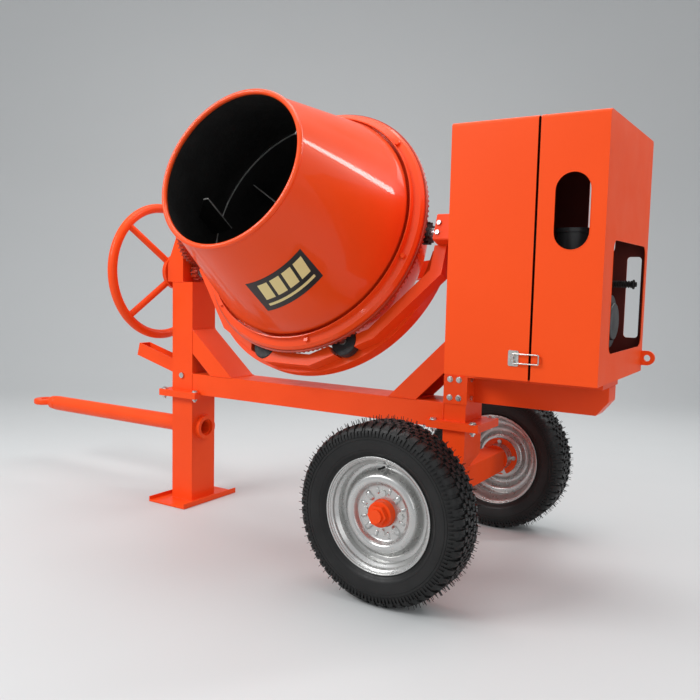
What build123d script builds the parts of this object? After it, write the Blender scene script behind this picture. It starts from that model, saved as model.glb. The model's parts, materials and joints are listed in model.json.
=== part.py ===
from build123d import *
import os
from math import asin, cos, hypot, pi, radians, sin

os.makedirs("parts", exist_ok=True)

# Towable tipping-drum concrete mixer. Millimetres, +Z up, ground at Z = 0.
# X runs from the tow eye (negative) to the engine cabinet (positive).
# The origin is under the middle of the foot plate. The drum mouth faces -Y.

# ---------------------------------------------------------------- driving sizes
plate = 5                     # wall of the frame's tubes and channels
fit = 0.08                    # radial running clearance of shafts
leg_x = 125                   # leg and upright section along X
leg_y = 150                   # every frame tube is this deep along Y
foot_x = 222
foot_y = 350
foot_plate_thickness = 8
foot_lip = 16                 # turned-up edge of the foot plate
flange_thickness = 15
leg_joint_z = 506             # plane where upright and lower leg are bolted together
leg_flange_x = 226
leg_flange_y = 220
upright_drop = 207            # tipping axis to the upright's top

beam_z = 508                  # underside of the main beam
beam_height = 94
ring_to_post = 112.5          # between the ring gear and the posts on each side
post_x = 88                   # right post section along X
post_joint_z = 522            # plane where right post and lower post are bolted together
post_flange_x = 208
post_flange_y = 196
post_rise = 75                # the right post reaches this far above the tipping axis
brace_run = 236               # length of a brace along the beam
left_brace_rise = 203
right_brace_rise = 230
brace_depth = 84              # size across a brace, seen from the front

axle_lead = 39.5              # the axle lies this far to the foot's side of the right post's middle
track = 981
wheel_radius = 297
tyre_width = 165
rim_width = 124
rim_radius = 182
axle_beam_size = 90
axle_beam_wall = 8
stub_radius = 22
tail_drop = 620               # tipping axis to the underside of the tail beam
tail_height = 100
tail_width = 90
bed_thickness = 33

cabinet_clear = 14.5          # between the right post and the drive case
case_length = 293             # drive case, to the middle of the seam
hood_length = 212             # engine hood, from the middle of the seam
cabinet_width = 600           # along Y
cabinet_rise = 332            # the cabinet reaches this far above the tipping axis
sheet = 3                     # sheet metal of the cabinet
seam_gap = 8                  # gap between the two halves of the cabinet

swing_clear = 48              # between the main beam and the swinging cradle rim
rest_tilt = 20                # the mouth looks this far above level at rest
mouth_radius = 300
mouth_height = 583            # mouth plane, along the drum axis from the tipping axis
cone_radius = 460
cone_foot = 120               # wide end of the cone, along the drum axis
drum_wall = 4
bowl_step = 12                # the bowl is this much smaller than the cone
bowl_depth = 325              # bottom of the bowl, behind the tipping axis

ring_teeth = 156
pinion_teeth = 12
ring_stand = 71               # the ring gear reaches this far out from the bowl
ring_face = 33                # length of the ring's teeth along the radius
ring_body = 12
tilt_module = 6
tilt_gear_teeth = 42
tilt_pinion_teeth = 12
tooth_share = 0.36            # tooth width at the pitch line as a share of the pitch
addendum = 3
dedendum = 5

trunnion_radius = 40          # hollow right trunnion
left_pin_radius = 30
block_size = 104              # trunnion blocks, across the drum axis
block_reach = 65              # trunnion blocks, along the tipping axis
block_play = 3.5              # between a trunnion block and its post
drive_shaft_radius = 20
pulley_inset = 102            # case side to the near face of both belt pulleys
pulley_width = 30
big_pulley_radius = 180
small_pulley_radius = 40
engine_drop = 300             # the engine's shaft lies this far below the tipping axis
engine_shaft_radius = 14

handwheel_x = -208            # plane of the handwheel's rim
handwheel_radius = 318.7      # outside of the handwheel
handwheel_tube = 21           # radius of the rim's tube
handwheel_hub_radius = 80
handwheel_shaft_radius = 15
bracket_x = -93               # outer side of the bearing bracket
bracket_top_x = -44
bracket_face = 3              # side of the bracket that faces the drum
bracket_rise = 75             # the bracket reaches this far above the tipping axis
rim_stand = 56                # the cradle's rear rim reaches this far beyond the ring gear
rim_width_radial = 55

tow_bar_z = 345
tow_bar_radius = 38
tow_bar_wall = 6
tow_bar_start = -1000         # where the tube ends and the eye's plug begins
tow_eye_x = -1112
tow_eye_hole = 22
tow_eye_rim = 58
tow_eye_thickness = 30
sleeve_radius = 55
sleeve_reach = 22             # the sleeve stands this far out of each side of the leg

bolt_radius = 6

# ---------------------------------------------------------------- derived places
bowl_radius = cone_radius - bowl_step
ring_radius = bowl_radius + ring_stand
post_gap = 2 * (ring_radius + ring_to_post)
rim_outer = ring_radius + rim_stand
rim_inner = rim_outer - rim_width_radial
upright_face = leg_x / 2
post_face = upright_face + post_gap
post_end = post_face + post_x
post_centre = post_face + post_x / 2
beam_top = beam_z + beam_height
tilt_z = beam_top + swing_clear + rim_outer
upright_top = tilt_z - upright_drop
bracket_top = tilt_z + bracket_rise
post_top = tilt_z + post_rise
cabinet_top = tilt_z + cabinet_rise
half_y = leg_y / 2
axle_x = post_end - post_x / 2 - axle_lead
tail_z = tilt_z - tail_drop
cabinet_x = post_end + cabinet_clear
cabinet_seam = cabinet_x + case_length
cabinet_end = cabinet_seam + hood_length
pulley_x = cabinet_x + pulley_inset
engine_shaft_z = tilt_z - engine_drop
tail_top = tail_z + tail_height
cabinet_floor = tail_top + bed_thickness
half_cabinet = cabinet_width / 2
drum_x = upright_face + post_gap / 2
block_out = post_gap / 2 - block_play
block_in = block_out - block_reach
pinion_radius = ring_radius * pinion_teeth / ring_teeth
ring_root = pinion_radius + dedendum
ring_back = ring_root + ring_body
tilt_gear_radius = tilt_module * tilt_gear_teeth / 2
tilt_pinion_radius = tilt_module * tilt_pinion_teeth / 2
handwheel_z = tilt_z - tilt_gear_radius - tilt_pinion_radius
handwheel_ring = handwheel_radius - handwheel_tube

rise = sin(radians(rest_tilt))
run = cos(radians(rest_tilt))
mouth_dir = (0, -run, rise)
# Local x is +X, local y is up across the drum, local z runs to the mouth.
drum_plane = Plane(origin=(drum_x, 0, tilt_z), x_dir=(1, 0, 0), z_dir=mouth_dir)
drum_axis = Axis((drum_x, 0, tilt_z), mouth_dir)
# Local x is the drum's radius and local y runs along its axis to the mouth.
drum_profile = Plane(origin=(drum_x, 0, tilt_z), x_dir=(1, 0, 0), z_dir=(0, -rise, -run))


def looking_along_x(x, y=0, z=0):
    """Plane at x whose local x is +Y and local y is +Z; extruding goes to +X."""
    return Plane(origin=(x, y, z), x_dir=(0, 1, 0), z_dir=(1, 0, 0))


def along_tipping_axis(x):
    """Plane across the tipping axis that is turned with the drum: local y is the mouth's way."""
    return Plane(origin=(x, 0, tilt_z), x_dir=(0, rise, run), z_dir=(1, 0, 0))


def front(y=0):
    """Plane at y whose local x is +X and local y is +Z; extruding goes to -Y."""
    return Plane(origin=(0, y, 0), x_dir=(1, 0, 0), z_dir=(0, -1, 0))


def gear_teeth(count, radius, first_angle, module_depth=1.0):
    """Tapered teeth round a pitch circle, in the open sketch; first_angle centres a tooth."""
    pitch = 2 * pi * radius / count
    tip = pitch * (tooth_share - 0.1)
    root = pitch * (tooth_share + 0.14)
    high = addendum * module_depth
    low = dedendum * module_depth + 1
    with PolarLocations(radius, count, start_angle=first_angle):
        Polygon((-low, -root / 2), (high, -tip / 2), (high, tip / 2), (-low, root / 2), align=None)


# ---------------------------------------------------------------- foot and lower leg
with BuildPart() as foot_plate:
    with BuildSketch(Plane.XY):
        Rectangle(foot_x, foot_y)
    extrude(amount=foot_plate_thickness)
    with BuildSketch(Plane.XY.offset(foot_plate_thickness)):
        with Locations((foot_x / 2 - plate / 2, 0), (plate / 2 - foot_x / 2, 0)):
            Rectangle(plate, foot_y)
    extrude(amount=foot_lip)
foot_plate.part.label = "foot_plate"
export_step(foot_plate.part, "parts/foot_plate.step")

leg_bolt_x = leg_flange_x - 36
leg_bolt_y = leg_flange_y - 36
with BuildPart() as lower_leg:
    with BuildSketch(Plane.XY.offset(foot_plate_thickness)):
        Rectangle(leg_x, leg_y)
        Rectangle(leg_x - 2 * plate, leg_y - 2 * plate, mode=Mode.SUBTRACT)
    extrude(amount=leg_joint_z - flange_thickness - foot_plate_thickness)
    with BuildSketch(Plane.XY.offset(leg_joint_z - flange_thickness)):
        Rectangle(leg_flange_x, leg_flange_y)
        with GridLocations(leg_bolt_x, leg_bolt_y, 2, 2):
            Circle(bolt_radius, mode=Mode.SUBTRACT)
    extrude(amount=flange_thickness)
    with BuildSketch(looking_along_x(-leg_x, z=tow_bar_z)):
        Circle(sleeve_radius)
    extrude(amount=2 * leg_x, mode=Mode.SUBTRACT)
lower_leg.part.label = "lower_leg"
export_step(lower_leg.part, "parts/lower_leg.step")

sleeve_end = leg_x / 2 + sleeve_reach
clamp_x = -leg_x / 2 - sleeve_reach / 2
with BuildPart() as tow_sleeve:
    with BuildSketch(looking_along_x(-sleeve_end, z=tow_bar_z)):
        Circle(sleeve_radius)
        Circle(tow_bar_radius + fit, mode=Mode.SUBTRACT)
    extrude(amount=2 * sleeve_end)
    with BuildSketch(Plane.XY.offset(tow_bar_z)):
        with Locations((clamp_x, 0)):
            Circle(bolt_radius)
    extrude(amount=sleeve_radius, mode=Mode.SUBTRACT)
tow_sleeve.part.label = "tow_sleeve"
export_step(tow_sleeve.part, "parts/tow_sleeve.step")

# ---------------------------------------------------------------- upright and beam
pedal_pivot_x = 0
pedal_pivot_z = 590
pedal_width = 66
pedal_slot_low = 540
pedal_slot_high = 672
pedal_pin_radius = 8
cap_thickness = 6
with BuildPart() as upright:
    with BuildSketch(Plane.XY.offset(leg_joint_z)):
        Rectangle(leg_flange_x, leg_flange_y)
        with GridLocations(leg_bolt_x, leg_bolt_y, 2, 2):
            Circle(bolt_radius, mode=Mode.SUBTRACT)
    extrude(amount=flange_thickness)
    with BuildSketch(front()):
        with Locations((upright_face, beam_z)):
            Rectangle(leg_flange_x, beam_height, align=(Align.MIN, Align.MIN))
    extrude(amount=half_y, both=True, mode=Mode.SUBTRACT)
    with BuildSketch(Plane.XY.offset(leg_joint_z + flange_thickness)):
        Rectangle(leg_x, leg_y)
        Rectangle(leg_x - 2 * plate, leg_y - 2 * plate, mode=Mode.SUBTRACT)
    extrude(amount=upright_top - cap_thickness - leg_joint_z - flange_thickness)
    with BuildSketch(Plane.XY.offset(upright_top - cap_thickness)):
        Rectangle(leg_x, leg_y)
    extrude(amount=cap_thickness)
    with BuildSketch(looking_along_x(-leg_x, z=(pedal_slot_low + pedal_slot_high) / 2)):
        Rectangle(pedal_width + 6, pedal_slot_high - pedal_slot_low)
    extrude(amount=leg_x / 2 + plate, mode=Mode.SUBTRACT)
    with BuildSketch(front()):
        with Locations((pedal_pivot_x, pedal_pivot_z)):
            Circle(pedal_pin_radius)
    extrude(amount=leg_y, both=True, mode=Mode.SUBTRACT)
upright.part.label = "upright"
export_step(upright.part, "parts/upright.step")

with BuildPart() as main_beam:
    with BuildSketch(looking_along_x(upright_face, z=beam_z + beam_height / 2)):
        Rectangle(leg_y, beam_height)
        Rectangle(leg_y - 2 * plate, beam_height - 2 * plate, mode=Mode.SUBTRACT)
    extrude(amount=post_gap)
main_beam.part.label = "main_beam"
export_step(main_beam.part, "parts/main_beam.step")

with BuildPart() as beam_braces:
    for face_x, side, brace_rise in (
        (upright_face, 1, left_brace_rise),
        (post_face, -1, right_brace_rise),
    ):
        slant = hypot(brace_run, brace_rise)
        low_foot = side * (brace_run - brace_depth * slant / brace_rise)
        low_head = brace_rise - brace_depth * slant / brace_run
        with BuildSketch(front()):
            with Locations((face_x, beam_top)):
                Polygon((0, brace_rise), (side * brace_run, 0), (low_foot, 0), (0, low_head), align=None)
        extrude(amount=half_y, both=True)
        skin_foot = side * (brace_run - plate * slant / brace_rise)
        skin_head = brace_rise - plate * slant / brace_run
        with BuildSketch(front()):
            with Locations((face_x, beam_top)):
                Polygon((0, skin_head), (skin_foot, 0), (low_foot, 0), (0, low_head), align=None)
        extrude(amount=half_y - plate, both=True, mode=Mode.SUBTRACT)
beam_braces.part.label = "beam_braces"
export_step(beam_braces.part, "parts/beam_braces.step")

# ---------------------------------------------------------------- right post, splice, tail
post_bearing_radius = 55
splice_low = beam_top
splice_high = cabinet_floor - bed_thickness
splice_side = 60              # how far the splice plate wraps round the post's side
splice_bolt_low = splice_low + 23
splice_bolt_high = splice_high - 13
splice_bolt_x = (post_face + 25, post_face + 60)
splice_side_y = -46
post_bolt_x = post_flange_x - 50
post_bolt_y = post_flange_y - 22
post_bolts_at = [
    (post_centre + side_x * post_bolt_x / 2, side_y * post_bolt_y / 2)
    for side_x in (-1, 1)
    for side_y in (-1, 1)
]
with BuildPart() as right_post:
    with BuildSketch(Plane.XY.offset(post_joint_z)):
        with Locations((post_centre, 0)):
            Rectangle(post_flange_x, post_flange_y)
        with Locations(*post_bolts_at):
            Circle(bolt_radius, mode=Mode.SUBTRACT)
    extrude(amount=flange_thickness)
    with BuildSketch(front()):
        with Locations((post_face, beam_z)):
            Rectangle(post_flange_x, beam_height, align=(Align.MAX, Align.MIN))
    extrude(amount=half_y, both=True, mode=Mode.SUBTRACT)
    with BuildSketch(Plane.XY.offset(post_joint_z + flange_thickness)):
        with Locations((post_centre, 0)):
            Rectangle(post_x, leg_y)
            Rectangle(post_x - 2 * plate, leg_y - 2 * plate, mode=Mode.SUBTRACT)
    extrude(amount=post_top - cap_thickness - post_joint_z - flange_thickness)
    with BuildSketch(Plane.XY.offset(post_top - cap_thickness)):
        with Locations((post_centre, 0)):
            Rectangle(post_x, leg_y)
    extrude(amount=cap_thickness)
    with BuildSketch(looking_along_x(post_face - plate, z=tilt_z)):
        Circle(post_bearing_radius)
    extrude(amount=post_x + 2 * plate, mode=Mode.SUBTRACT)
    with BuildSketch(front(-half_y)):
        with Locations(*[(x, z) for x in splice_bolt_x for z in (splice_bolt_low, splice_bolt_high)]):
            Circle(bolt_radius)
    extrude(amount=-plate, mode=Mode.SUBTRACT)
    with BuildSketch(looking_along_x(post_end - plate)):
        with Locations((splice_side_y, splice_bolt_low), (splice_side_y, splice_bolt_high)):
            Circle(bolt_radius)
    extrude(amount=plate, mode=Mode.SUBTRACT)
right_post.part.label = "right_post"
export_step(right_post.part, "parts/right_post.step")

with BuildPart() as splice_plate:
    with BuildSketch(Plane.XY.offset(splice_low)):
        with Locations((post_face, -half_y)):
            Rectangle(post_x + plate, plate, align=(Align.MIN, Align.MAX))
        with Locations((post_end, -half_y - plate)):
            Rectangle(plate, splice_side + plate, align=(Align.MIN, Align.MIN))
    extrude(amount=splice_high - splice_low)
    with BuildSketch(front(-half_y)):
        with Locations(*[(x, z) for x in splice_bolt_x for z in (splice_bolt_low, splice_bolt_high)]):
            Circle(bolt_radius)
    extrude(amount=plate, mode=Mode.SUBTRACT)
    with BuildSketch(looking_along_x(post_end)):
        with Locations((splice_side_y, splice_bolt_low), (splice_side_y, splice_bolt_high)):
            Circle(bolt_radius)
    extrude(amount=plate, mode=Mode.SUBTRACT)
splice_plate.part.label = "splice_plate"
export_step(splice_plate.part, "parts/splice_plate.step")

axle_beam_top = wheel_radius + axle_beam_size / 2
post_taper = 58               # height of the lower post's tapered foot
post_taper_z = axle_beam_top + post_taper
post_waist_y = 100            # its depth where it meets the axle beam
with BuildPart() as lower_post:
    with BuildSketch(Plane.XY.offset(post_joint_z - flange_thickness + 1)):
        with Locations((post_centre, 0)):
            Rectangle(post_flange_x, post_flange_y)
        with Locations(*post_bolts_at):
            Circle(bolt_radius, mode=Mode.SUBTRACT)
    extrude(amount=flange_thickness - 1)
    with BuildSketch(front()):
        with Locations((post_face, beam_z)):
            Rectangle(post_flange_x, beam_height, align=(Align.MAX, Align.MIN))
    extrude(amount=half_y, both=True, mode=Mode.SUBTRACT)
    with BuildSketch(Plane.XY.offset(post_taper_z)):
        with Locations((post_centre, 0)):
            Rectangle(post_x, leg_y)
            Rectangle(post_x - 2 * plate, leg_y - 2 * plate, mode=Mode.SUBTRACT)
    extrude(amount=post_joint_z - flange_thickness + 1 - post_taper_z)
    with BuildSketch(Plane.XY.offset(post_taper_z)):
        with Locations((post_centre, 0)):
            Rectangle(post_x, leg_y)
    with BuildSketch(Plane.XY.offset(axle_beam_top)):
        with Locations((axle_x, 0)):
            Rectangle(axle_beam_size, post_waist_y)
    loft()
lower_post.part.label = "lower_post"
export_step(lower_post.part, "parts/lower_post.step")

hub_inner_y = track / 2 - 50  # inner end of the wheel hub
hub_outer_y = track / 2 + 46  # face the axle nut bears on
beam_half = hub_inner_y - 4
stub_plug = 60
with BuildPart() as axle_beam:
    with BuildSketch(front(beam_half)):
        with Locations((axle_x, wheel_radius)):
            Rectangle(axle_beam_size, axle_beam_size)
            Rectangle(
                axle_beam_size - 2 * axle_beam_wall,
                axle_beam_size - 2 * axle_beam_wall,
                mode=Mode.SUBTRACT,
            )
    extrude(amount=2 * beam_half)
axle_beam.part.label = "axle_beam"
export_step(axle_beam.part, "parts/axle_beam.step")

with BuildPart() as stub_axles:
    for side in (-1, 1):
        with BuildSketch(front(side * (beam_half - stub_plug))):
            with Locations((axle_x, wheel_radius)):
                Rectangle(axle_beam_size - 2 * axle_beam_wall, axle_beam_size - 2 * axle_beam_wall)
        extrude(amount=-side * stub_plug)
        with BuildSketch(front(side * beam_half)):
            with Locations((axle_x, wheel_radius)):
                Circle(stub_radius)
        extrude(amount=-side * (hub_outer_y - beam_half + 28))
stub_axles.part.label = "stub_axles"
export_step(stub_axles.part, "parts/stub_axles.step")

tail_y = half_y - tail_width / 2
tail_low_end = cabinet_end - 73    # the tail's end is cut on the slant
tail_high_end = cabinet_end - 33
with BuildPart() as tail_beam:
    with BuildSketch(front(tail_y)):
        Polygon(
            (post_end, tail_z),
            (tail_low_end, tail_z),
            (tail_high_end, tail_z + tail_height / 2),
            (tail_high_end, tail_top),
            (post_end, tail_top),
            align=None,
        )
    extrude(amount=tail_width / 2, both=True)
    with BuildSketch(looking_along_x(post_end, y=tail_y, z=tail_z + tail_height / 2)):
        Rectangle(tail_width - 2 * plate, tail_height - 2 * plate)
    extrude(amount=tail_low_end - post_end - plate, mode=Mode.SUBTRACT)
tail_beam.part.label = "tail_beam"
export_step(tail_beam.part, "parts/tail_beam.step")

bed_width = 200
tray_inset = 2
with BuildPart() as engine_bed:
    with BuildSketch(Plane.XY.offset(tail_top)):
        with Locations((post_end + plate, 0)):
            Rectangle(tail_high_end - post_end - plate, bed_width, align=(Align.MIN, Align.CENTER))
        with Locations((post_end + 4 * plate, 0)):
            Rectangle(
                tail_high_end - post_end - 7 * plate,
                bed_width - 12 * plate,
                align=(Align.MIN, Align.CENTER),
                mode=Mode.SUBTRACT,
            )
    extrude(amount=bed_thickness)
    with BuildSketch(Plane.XY.offset(cabinet_floor)):
        with Locations((cabinet_seam, 0)):
            Rectangle(
                cabinet_end - sheet - tray_inset - cabinet_seam,
                cabinet_width - 2 * sheet - 2 * tray_inset,
                align=(Align.MIN, Align.CENTER),
            )
    extrude(amount=sheet)
engine_bed.part.label = "engine_bed"
export_step(engine_bed.part, "parts/engine_bed.step")

# ---------------------------------------------------------------- bearings of the tipping axis
bracket_wall = 6
bracket_waist_z = upright_top + 82
bracket_neck_z = tilt_z - 12
handwheel_bush_radius = 26
left_bearing_radius = 44
bush_stand = 8                # bushes stand this far out of the bracket
with BuildPart() as bearing_bracket:
    with BuildSketch(front()):
        Polygon(
            (bracket_x, upright_top),
            (bracket_face, upright_top),
            (bracket_face, bracket_top),
            (bracket_top_x, bracket_top),
            (bracket_top_x, bracket_neck_z),
            (bracket_x, bracket_waist_z),
            align=None,
        )
    extrude(amount=half_y, both=True)
    with BuildSketch(front()):
        Polygon(
            (bracket_x + bracket_wall, upright_top),
            (bracket_face - bracket_wall, upright_top),
            (bracket_face - bracket_wall, bracket_top - bracket_wall),
            (bracket_top_x + bracket_wall, bracket_top - bracket_wall),
            (bracket_top_x + bracket_wall, bracket_neck_z),
            (bracket_x + bracket_wall, bracket_waist_z),
            align=None,
        )
    extrude(amount=half_y - bracket_wall, both=True, mode=Mode.SUBTRACT)
    with BuildSketch(looking_along_x(bracket_x - plate)):
        with Locations((0, tilt_z)):
            Circle(left_bearing_radius)
        with Locations((0, handwheel_z)):
            Circle(handwheel_bush_radius)
    extrude(amount=bracket_face - bracket_x + 2 * plate, mode=Mode.SUBTRACT)
bearing_bracket.part.label = "bearing_bracket"
export_step(bearing_bracket.part, "parts/bearing_bracket.step")

with BuildPart() as frame_bearings:
    with BuildSketch(looking_along_x(bracket_x - bush_stand, z=handwheel_z)):
        Circle(handwheel_bush_radius)
        Circle(handwheel_shaft_radius + fit, mode=Mode.SUBTRACT)
    extrude(amount=bracket_face - bracket_x + 2 * bush_stand)
    with BuildSketch(looking_along_x(bracket_top_x - bush_stand, z=tilt_z)):
        Circle(left_bearing_radius)
        Circle(left_pin_radius + fit, mode=Mode.SUBTRACT)
    extrude(amount=bracket_face - bracket_top_x + 2 * bush_stand)
    with BuildSketch(looking_along_x(post_face - 2, z=tilt_z)):
        Circle(post_bearing_radius)
        Circle(trunnion_radius + fit, mode=Mode.SUBTRACT)
    extrude(amount=post_x + bush_stand)
frame_bearings.part.label = "frame_bearings"
export_step(frame_bearings.part, "parts/frame_bearings.step")

# ---------------------------------------------------------------- bolts of the frame
head_radius = 11
head_height = 8
stub_thread = 14
with BuildPart() as frame_bolts:
    for joint_z, places, under, over in (
        (leg_joint_z, [(x * leg_bolt_x / 2, y * leg_bolt_y / 2) for x in (-1, 1) for y in (-1, 1)], 15, 15),
        (post_joint_z, post_bolts_at, flange_thickness - 1, flange_thickness),
    ):
        with BuildSketch(Plane.XY.offset(joint_z - under)):
            with Locations(*places):
                Circle(bolt_radius)
        extrude(amount=under + over)
        with BuildSketch(Plane.XY.offset(joint_z + over), Plane.XY.offset(joint_z - under - head_height)):
            with Locations(*places):
                RegularPolygon(head_radius, 6)
        extrude(amount=head_height)
        with BuildSketch(Plane.XY.offset(joint_z - under - head_height - 7)):
            with Locations(*places):
                Circle(bolt_radius)
        extrude(amount=7)
    front_places = [(x, z) for x in splice_bolt_x for z in (splice_bolt_low, splice_bolt_high)]
    with BuildSketch(front(-half_y + plate)):
        with Locations(*front_places):
            Circle(bolt_radius)
    extrude(amount=2 * plate)
    with BuildSketch(front(-half_y - plate)):
        with Locations(*front_places):
            RegularPolygon(head_radius - 2, 6)
    extrude(amount=head_height - 2)
    side_places = [(splice_side_y, splice_bolt_low), (splice_side_y, splice_bolt_high)]
    with BuildSketch(looking_along_x(post_end - plate)):
        with Locations(*side_places):
            Circle(bolt_radius)
    extrude(amount=2 * plate)
    with BuildSketch(looking_along_x(post_end + plate)):
        with Locations(*side_places):
            RegularPolygon(head_radius - 2, 6)
    extrude(amount=head_height - 2)
    with BuildSketch(Plane.XY.offset(tow_bar_z + tow_bar_radius + 0.5)):
        with Locations((clamp_x, 0)):
            Circle(bolt_radius)
    extrude(amount=sleeve_radius - tow_bar_radius + 4)
    with BuildSketch(Plane.XY.offset(tow_bar_z + sleeve_radius + 4.5)):
        with Locations((clamp_x, 0)):
            RegularPolygon(head_radius - 1, 6)
    extrude(amount=head_height)
    with BuildSketch(front(half_y + 3)):
        with Locations((pedal_pivot_x, pedal_pivot_z)):
            Circle(pedal_pin_radius)
    extrude(amount=leg_y + 6)
    with BuildSketch(front(half_y + 3 + plate), front(-half_y - 3)):
        with Locations((pedal_pivot_x, pedal_pivot_z)):
            Circle(pedal_pin_radius + 5)
    extrude(amount=plate)
    for side in (-1, 1):
        with BuildSketch(front(side * (hub_outer_y + 0.5))):
            with Locations((axle_x, wheel_radius)):
                RegularPolygon(stub_radius + 12, 6)
                Circle(stub_radius, mode=Mode.SUBTRACT)
        extrude(amount=-side * 18)
frame_bolts.part.label = "frame_bolts"
export_step(frame_bolts.part, "parts/frame_bolts.step")

# ---------------------------------------------------------------- tow bar
tow_bar_end = sleeve_end - 14
with BuildPart() as tow_bar:
    with BuildSketch(looking_along_x(tow_bar_start, z=tow_bar_z)):
        Circle(tow_bar_radius)
        Circle(tow_bar_radius - tow_bar_wall, mode=Mode.SUBTRACT)
    extrude(amount=tow_bar_end - tow_bar_start)
tow_bar.part.label = "tow_bar"
export_step(tow_bar.part, "parts/tow_bar.step")

plug_length = 45
with BuildPart() as tow_eye:
    with BuildSketch(Plane.XY.offset(tow_bar_z - tow_eye_thickness / 2)):
        with Locations((tow_eye_x, 0)):
            Circle(tow_eye_rim)
        with Locations((tow_eye_x, 0)):
            Rectangle(tow_bar_start - plug_length - tow_eye_x, 56, align=(Align.MIN, Align.CENTER))
    extrude(amount=tow_eye_thickness)
    fillet(tow_eye.edges().group_by(Axis.Z)[0] + tow_eye.edges().group_by(Axis.Z)[-1], radius=9)
    with BuildSketch(Plane(origin=(0, 0, tow_bar_z), x_dir=(1, 0, 0), z_dir=(0, -1, 0))):
        Polygon(
            (tow_bar_start - plug_length - 22, 0),
            (tow_bar_start - plug_length - 22, 16),
            (tow_bar_start - plug_length, tow_bar_radius - 4),
            (tow_bar_start - 8, tow_bar_radius - 1),
            (tow_bar_start, tow_bar_radius - tow_bar_wall),
            (tow_bar_start + 30, tow_bar_radius - tow_bar_wall),
            (tow_bar_start + 30, 0),
            align=None,
        )
    revolve(axis=Axis((0, 0, tow_bar_z), (1, 0, 0)))
    with BuildSketch(Plane.XY.offset(tow_bar_z - tow_eye_thickness)):
        with Locations((tow_eye_x, 0)):
            Circle(tow_eye_hole)
    extrude(amount=2 * tow_eye_thickness, mode=Mode.SUBTRACT)
tow_eye.part.label = "tow_eye"
export_step(tow_eye.part, "parts/tow_eye.step")

# ---------------------------------------------------------------- foot pedal
pedal_angle = 15              # the channel rises this much towards its tip
pedal_reach = 350
pedal_height = 62
pedal_plane = Plane(
    origin=(pedal_pivot_x, 0, pedal_pivot_z),
    x_dir=(-cos(radians(pedal_angle)), 0, sin(radians(pedal_angle))),
    z_dir=(0, 1, 0),
)
with BuildPart() as tilt_pedal:
    with BuildSketch(pedal_plane):
        with Locations((-22, -24)):
            Rectangle(pedal_reach + 22, pedal_height, align=(Align.MIN, Align.MIN))
    extrude(amount=pedal_width / 2, both=True)
    with BuildSketch(pedal_plane):
        with Locations((-30, plate - 24)):
            Rectangle(pedal_reach + 30 - plate, pedal_height, align=(Align.MIN, Align.MIN))
    extrude(amount=pedal_width / 2 - plate, both=True, mode=Mode.SUBTRACT)
    with BuildSketch(pedal_plane):
        Circle(pedal_pin_radius + 8)
    extrude(amount=pedal_width / 2 - plate, both=True)
    with BuildSketch(pedal_plane):
        Circle(pedal_pin_radius + fit)
    extrude(amount=pedal_width, both=True, mode=Mode.SUBTRACT)
tilt_pedal.part.label = "tilt_pedal"
export_step(tilt_pedal.part, "parts/tilt_pedal.step")

# ---------------------------------------------------------------- handwheel
hub_near = bracket_x - bush_stand - 3
hub_disc = 20
hub_far = hub_near - hub_disc
with BuildPart() as handwheel:
    with BuildSketch(front()):
        with Locations((handwheel_x, handwheel_z + handwheel_ring)):
            Circle(handwheel_tube)
    revolve(axis=Axis((0, 0, handwheel_z), (1, 0, 0)))
    with BuildSketch(looking_along_x(hub_far, z=handwheel_z)):
        Circle(handwheel_hub_radius)
    extrude(amount=hub_disc)
    for turn in (45, 135, 225, 315):
        out_y = cos(radians(turn))
        out_z = sin(radians(turn))
        spoke_root = Vector(hub_far + 10, 40 * out_y, handwheel_z + 40 * out_z)
        spoke_tip = Vector(handwheel_x, handwheel_ring * out_y, handwheel_z + handwheel_ring * out_z)
        with BuildSketch(Plane(origin=spoke_root, z_dir=spoke_tip - spoke_root)):
            Circle(15)
        extrude(amount=(spoke_tip - spoke_root).length)
    with BuildSketch(looking_along_x(hub_far - 1, z=handwheel_z)):
        Circle(handwheel_shaft_radius)
    extrude(amount=hub_disc + 2, mode=Mode.SUBTRACT)
handwheel.part.label = "handwheel"
export_step(handwheel.part, "parts/handwheel.step")

gear_near = bracket_face + bush_stand + 3
gear_width = 30
with BuildPart() as handwheel_shaft:
    with BuildSketch(looking_along_x(hub_far, z=handwheel_z)):
        Circle(handwheel_shaft_radius)
    extrude(amount=gear_near + gear_width - hub_far)
    with BuildSketch(looking_along_x(gear_near + gear_width, z=handwheel_z)):
        Circle(handwheel_shaft_radius + 6)
    extrude(amount=4)
    with BuildSketch(looking_along_x(gear_near + gear_width + 4, z=handwheel_z)):
        RegularPolygon(13, 6)
    extrude(amount=8)
    with BuildSketch(looking_along_x(hub_far - 4, z=handwheel_z)):
        Circle(handwheel_shaft_radius + 10)
    extrude(amount=4)
    with BuildSketch(looking_along_x(hub_far - 14, z=handwheel_z)):
        RegularPolygon(16, 6)
    extrude(amount=10)
handwheel_shaft.part.label = "handwheel_shaft"
export_step(handwheel_shaft.part, "parts/handwheel_shaft.step")

tooth_scale = 4 / 3           # the coarse tipping teeth are deeper than the ring's
with BuildPart() as tilt_pinion:
    with BuildSketch(looking_along_x(gear_near, z=handwheel_z)):
        Circle(tilt_pinion_radius - dedendum * tooth_scale)
        gear_teeth(tilt_pinion_teeth, tilt_pinion_radius, 90, tooth_scale)
        Circle(handwheel_shaft_radius, mode=Mode.SUBTRACT)
    extrude(amount=gear_width)
tilt_pinion.part.label = "tilt_pinion"
export_step(tilt_pinion.part, "parts/tilt_pinion.step")

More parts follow.
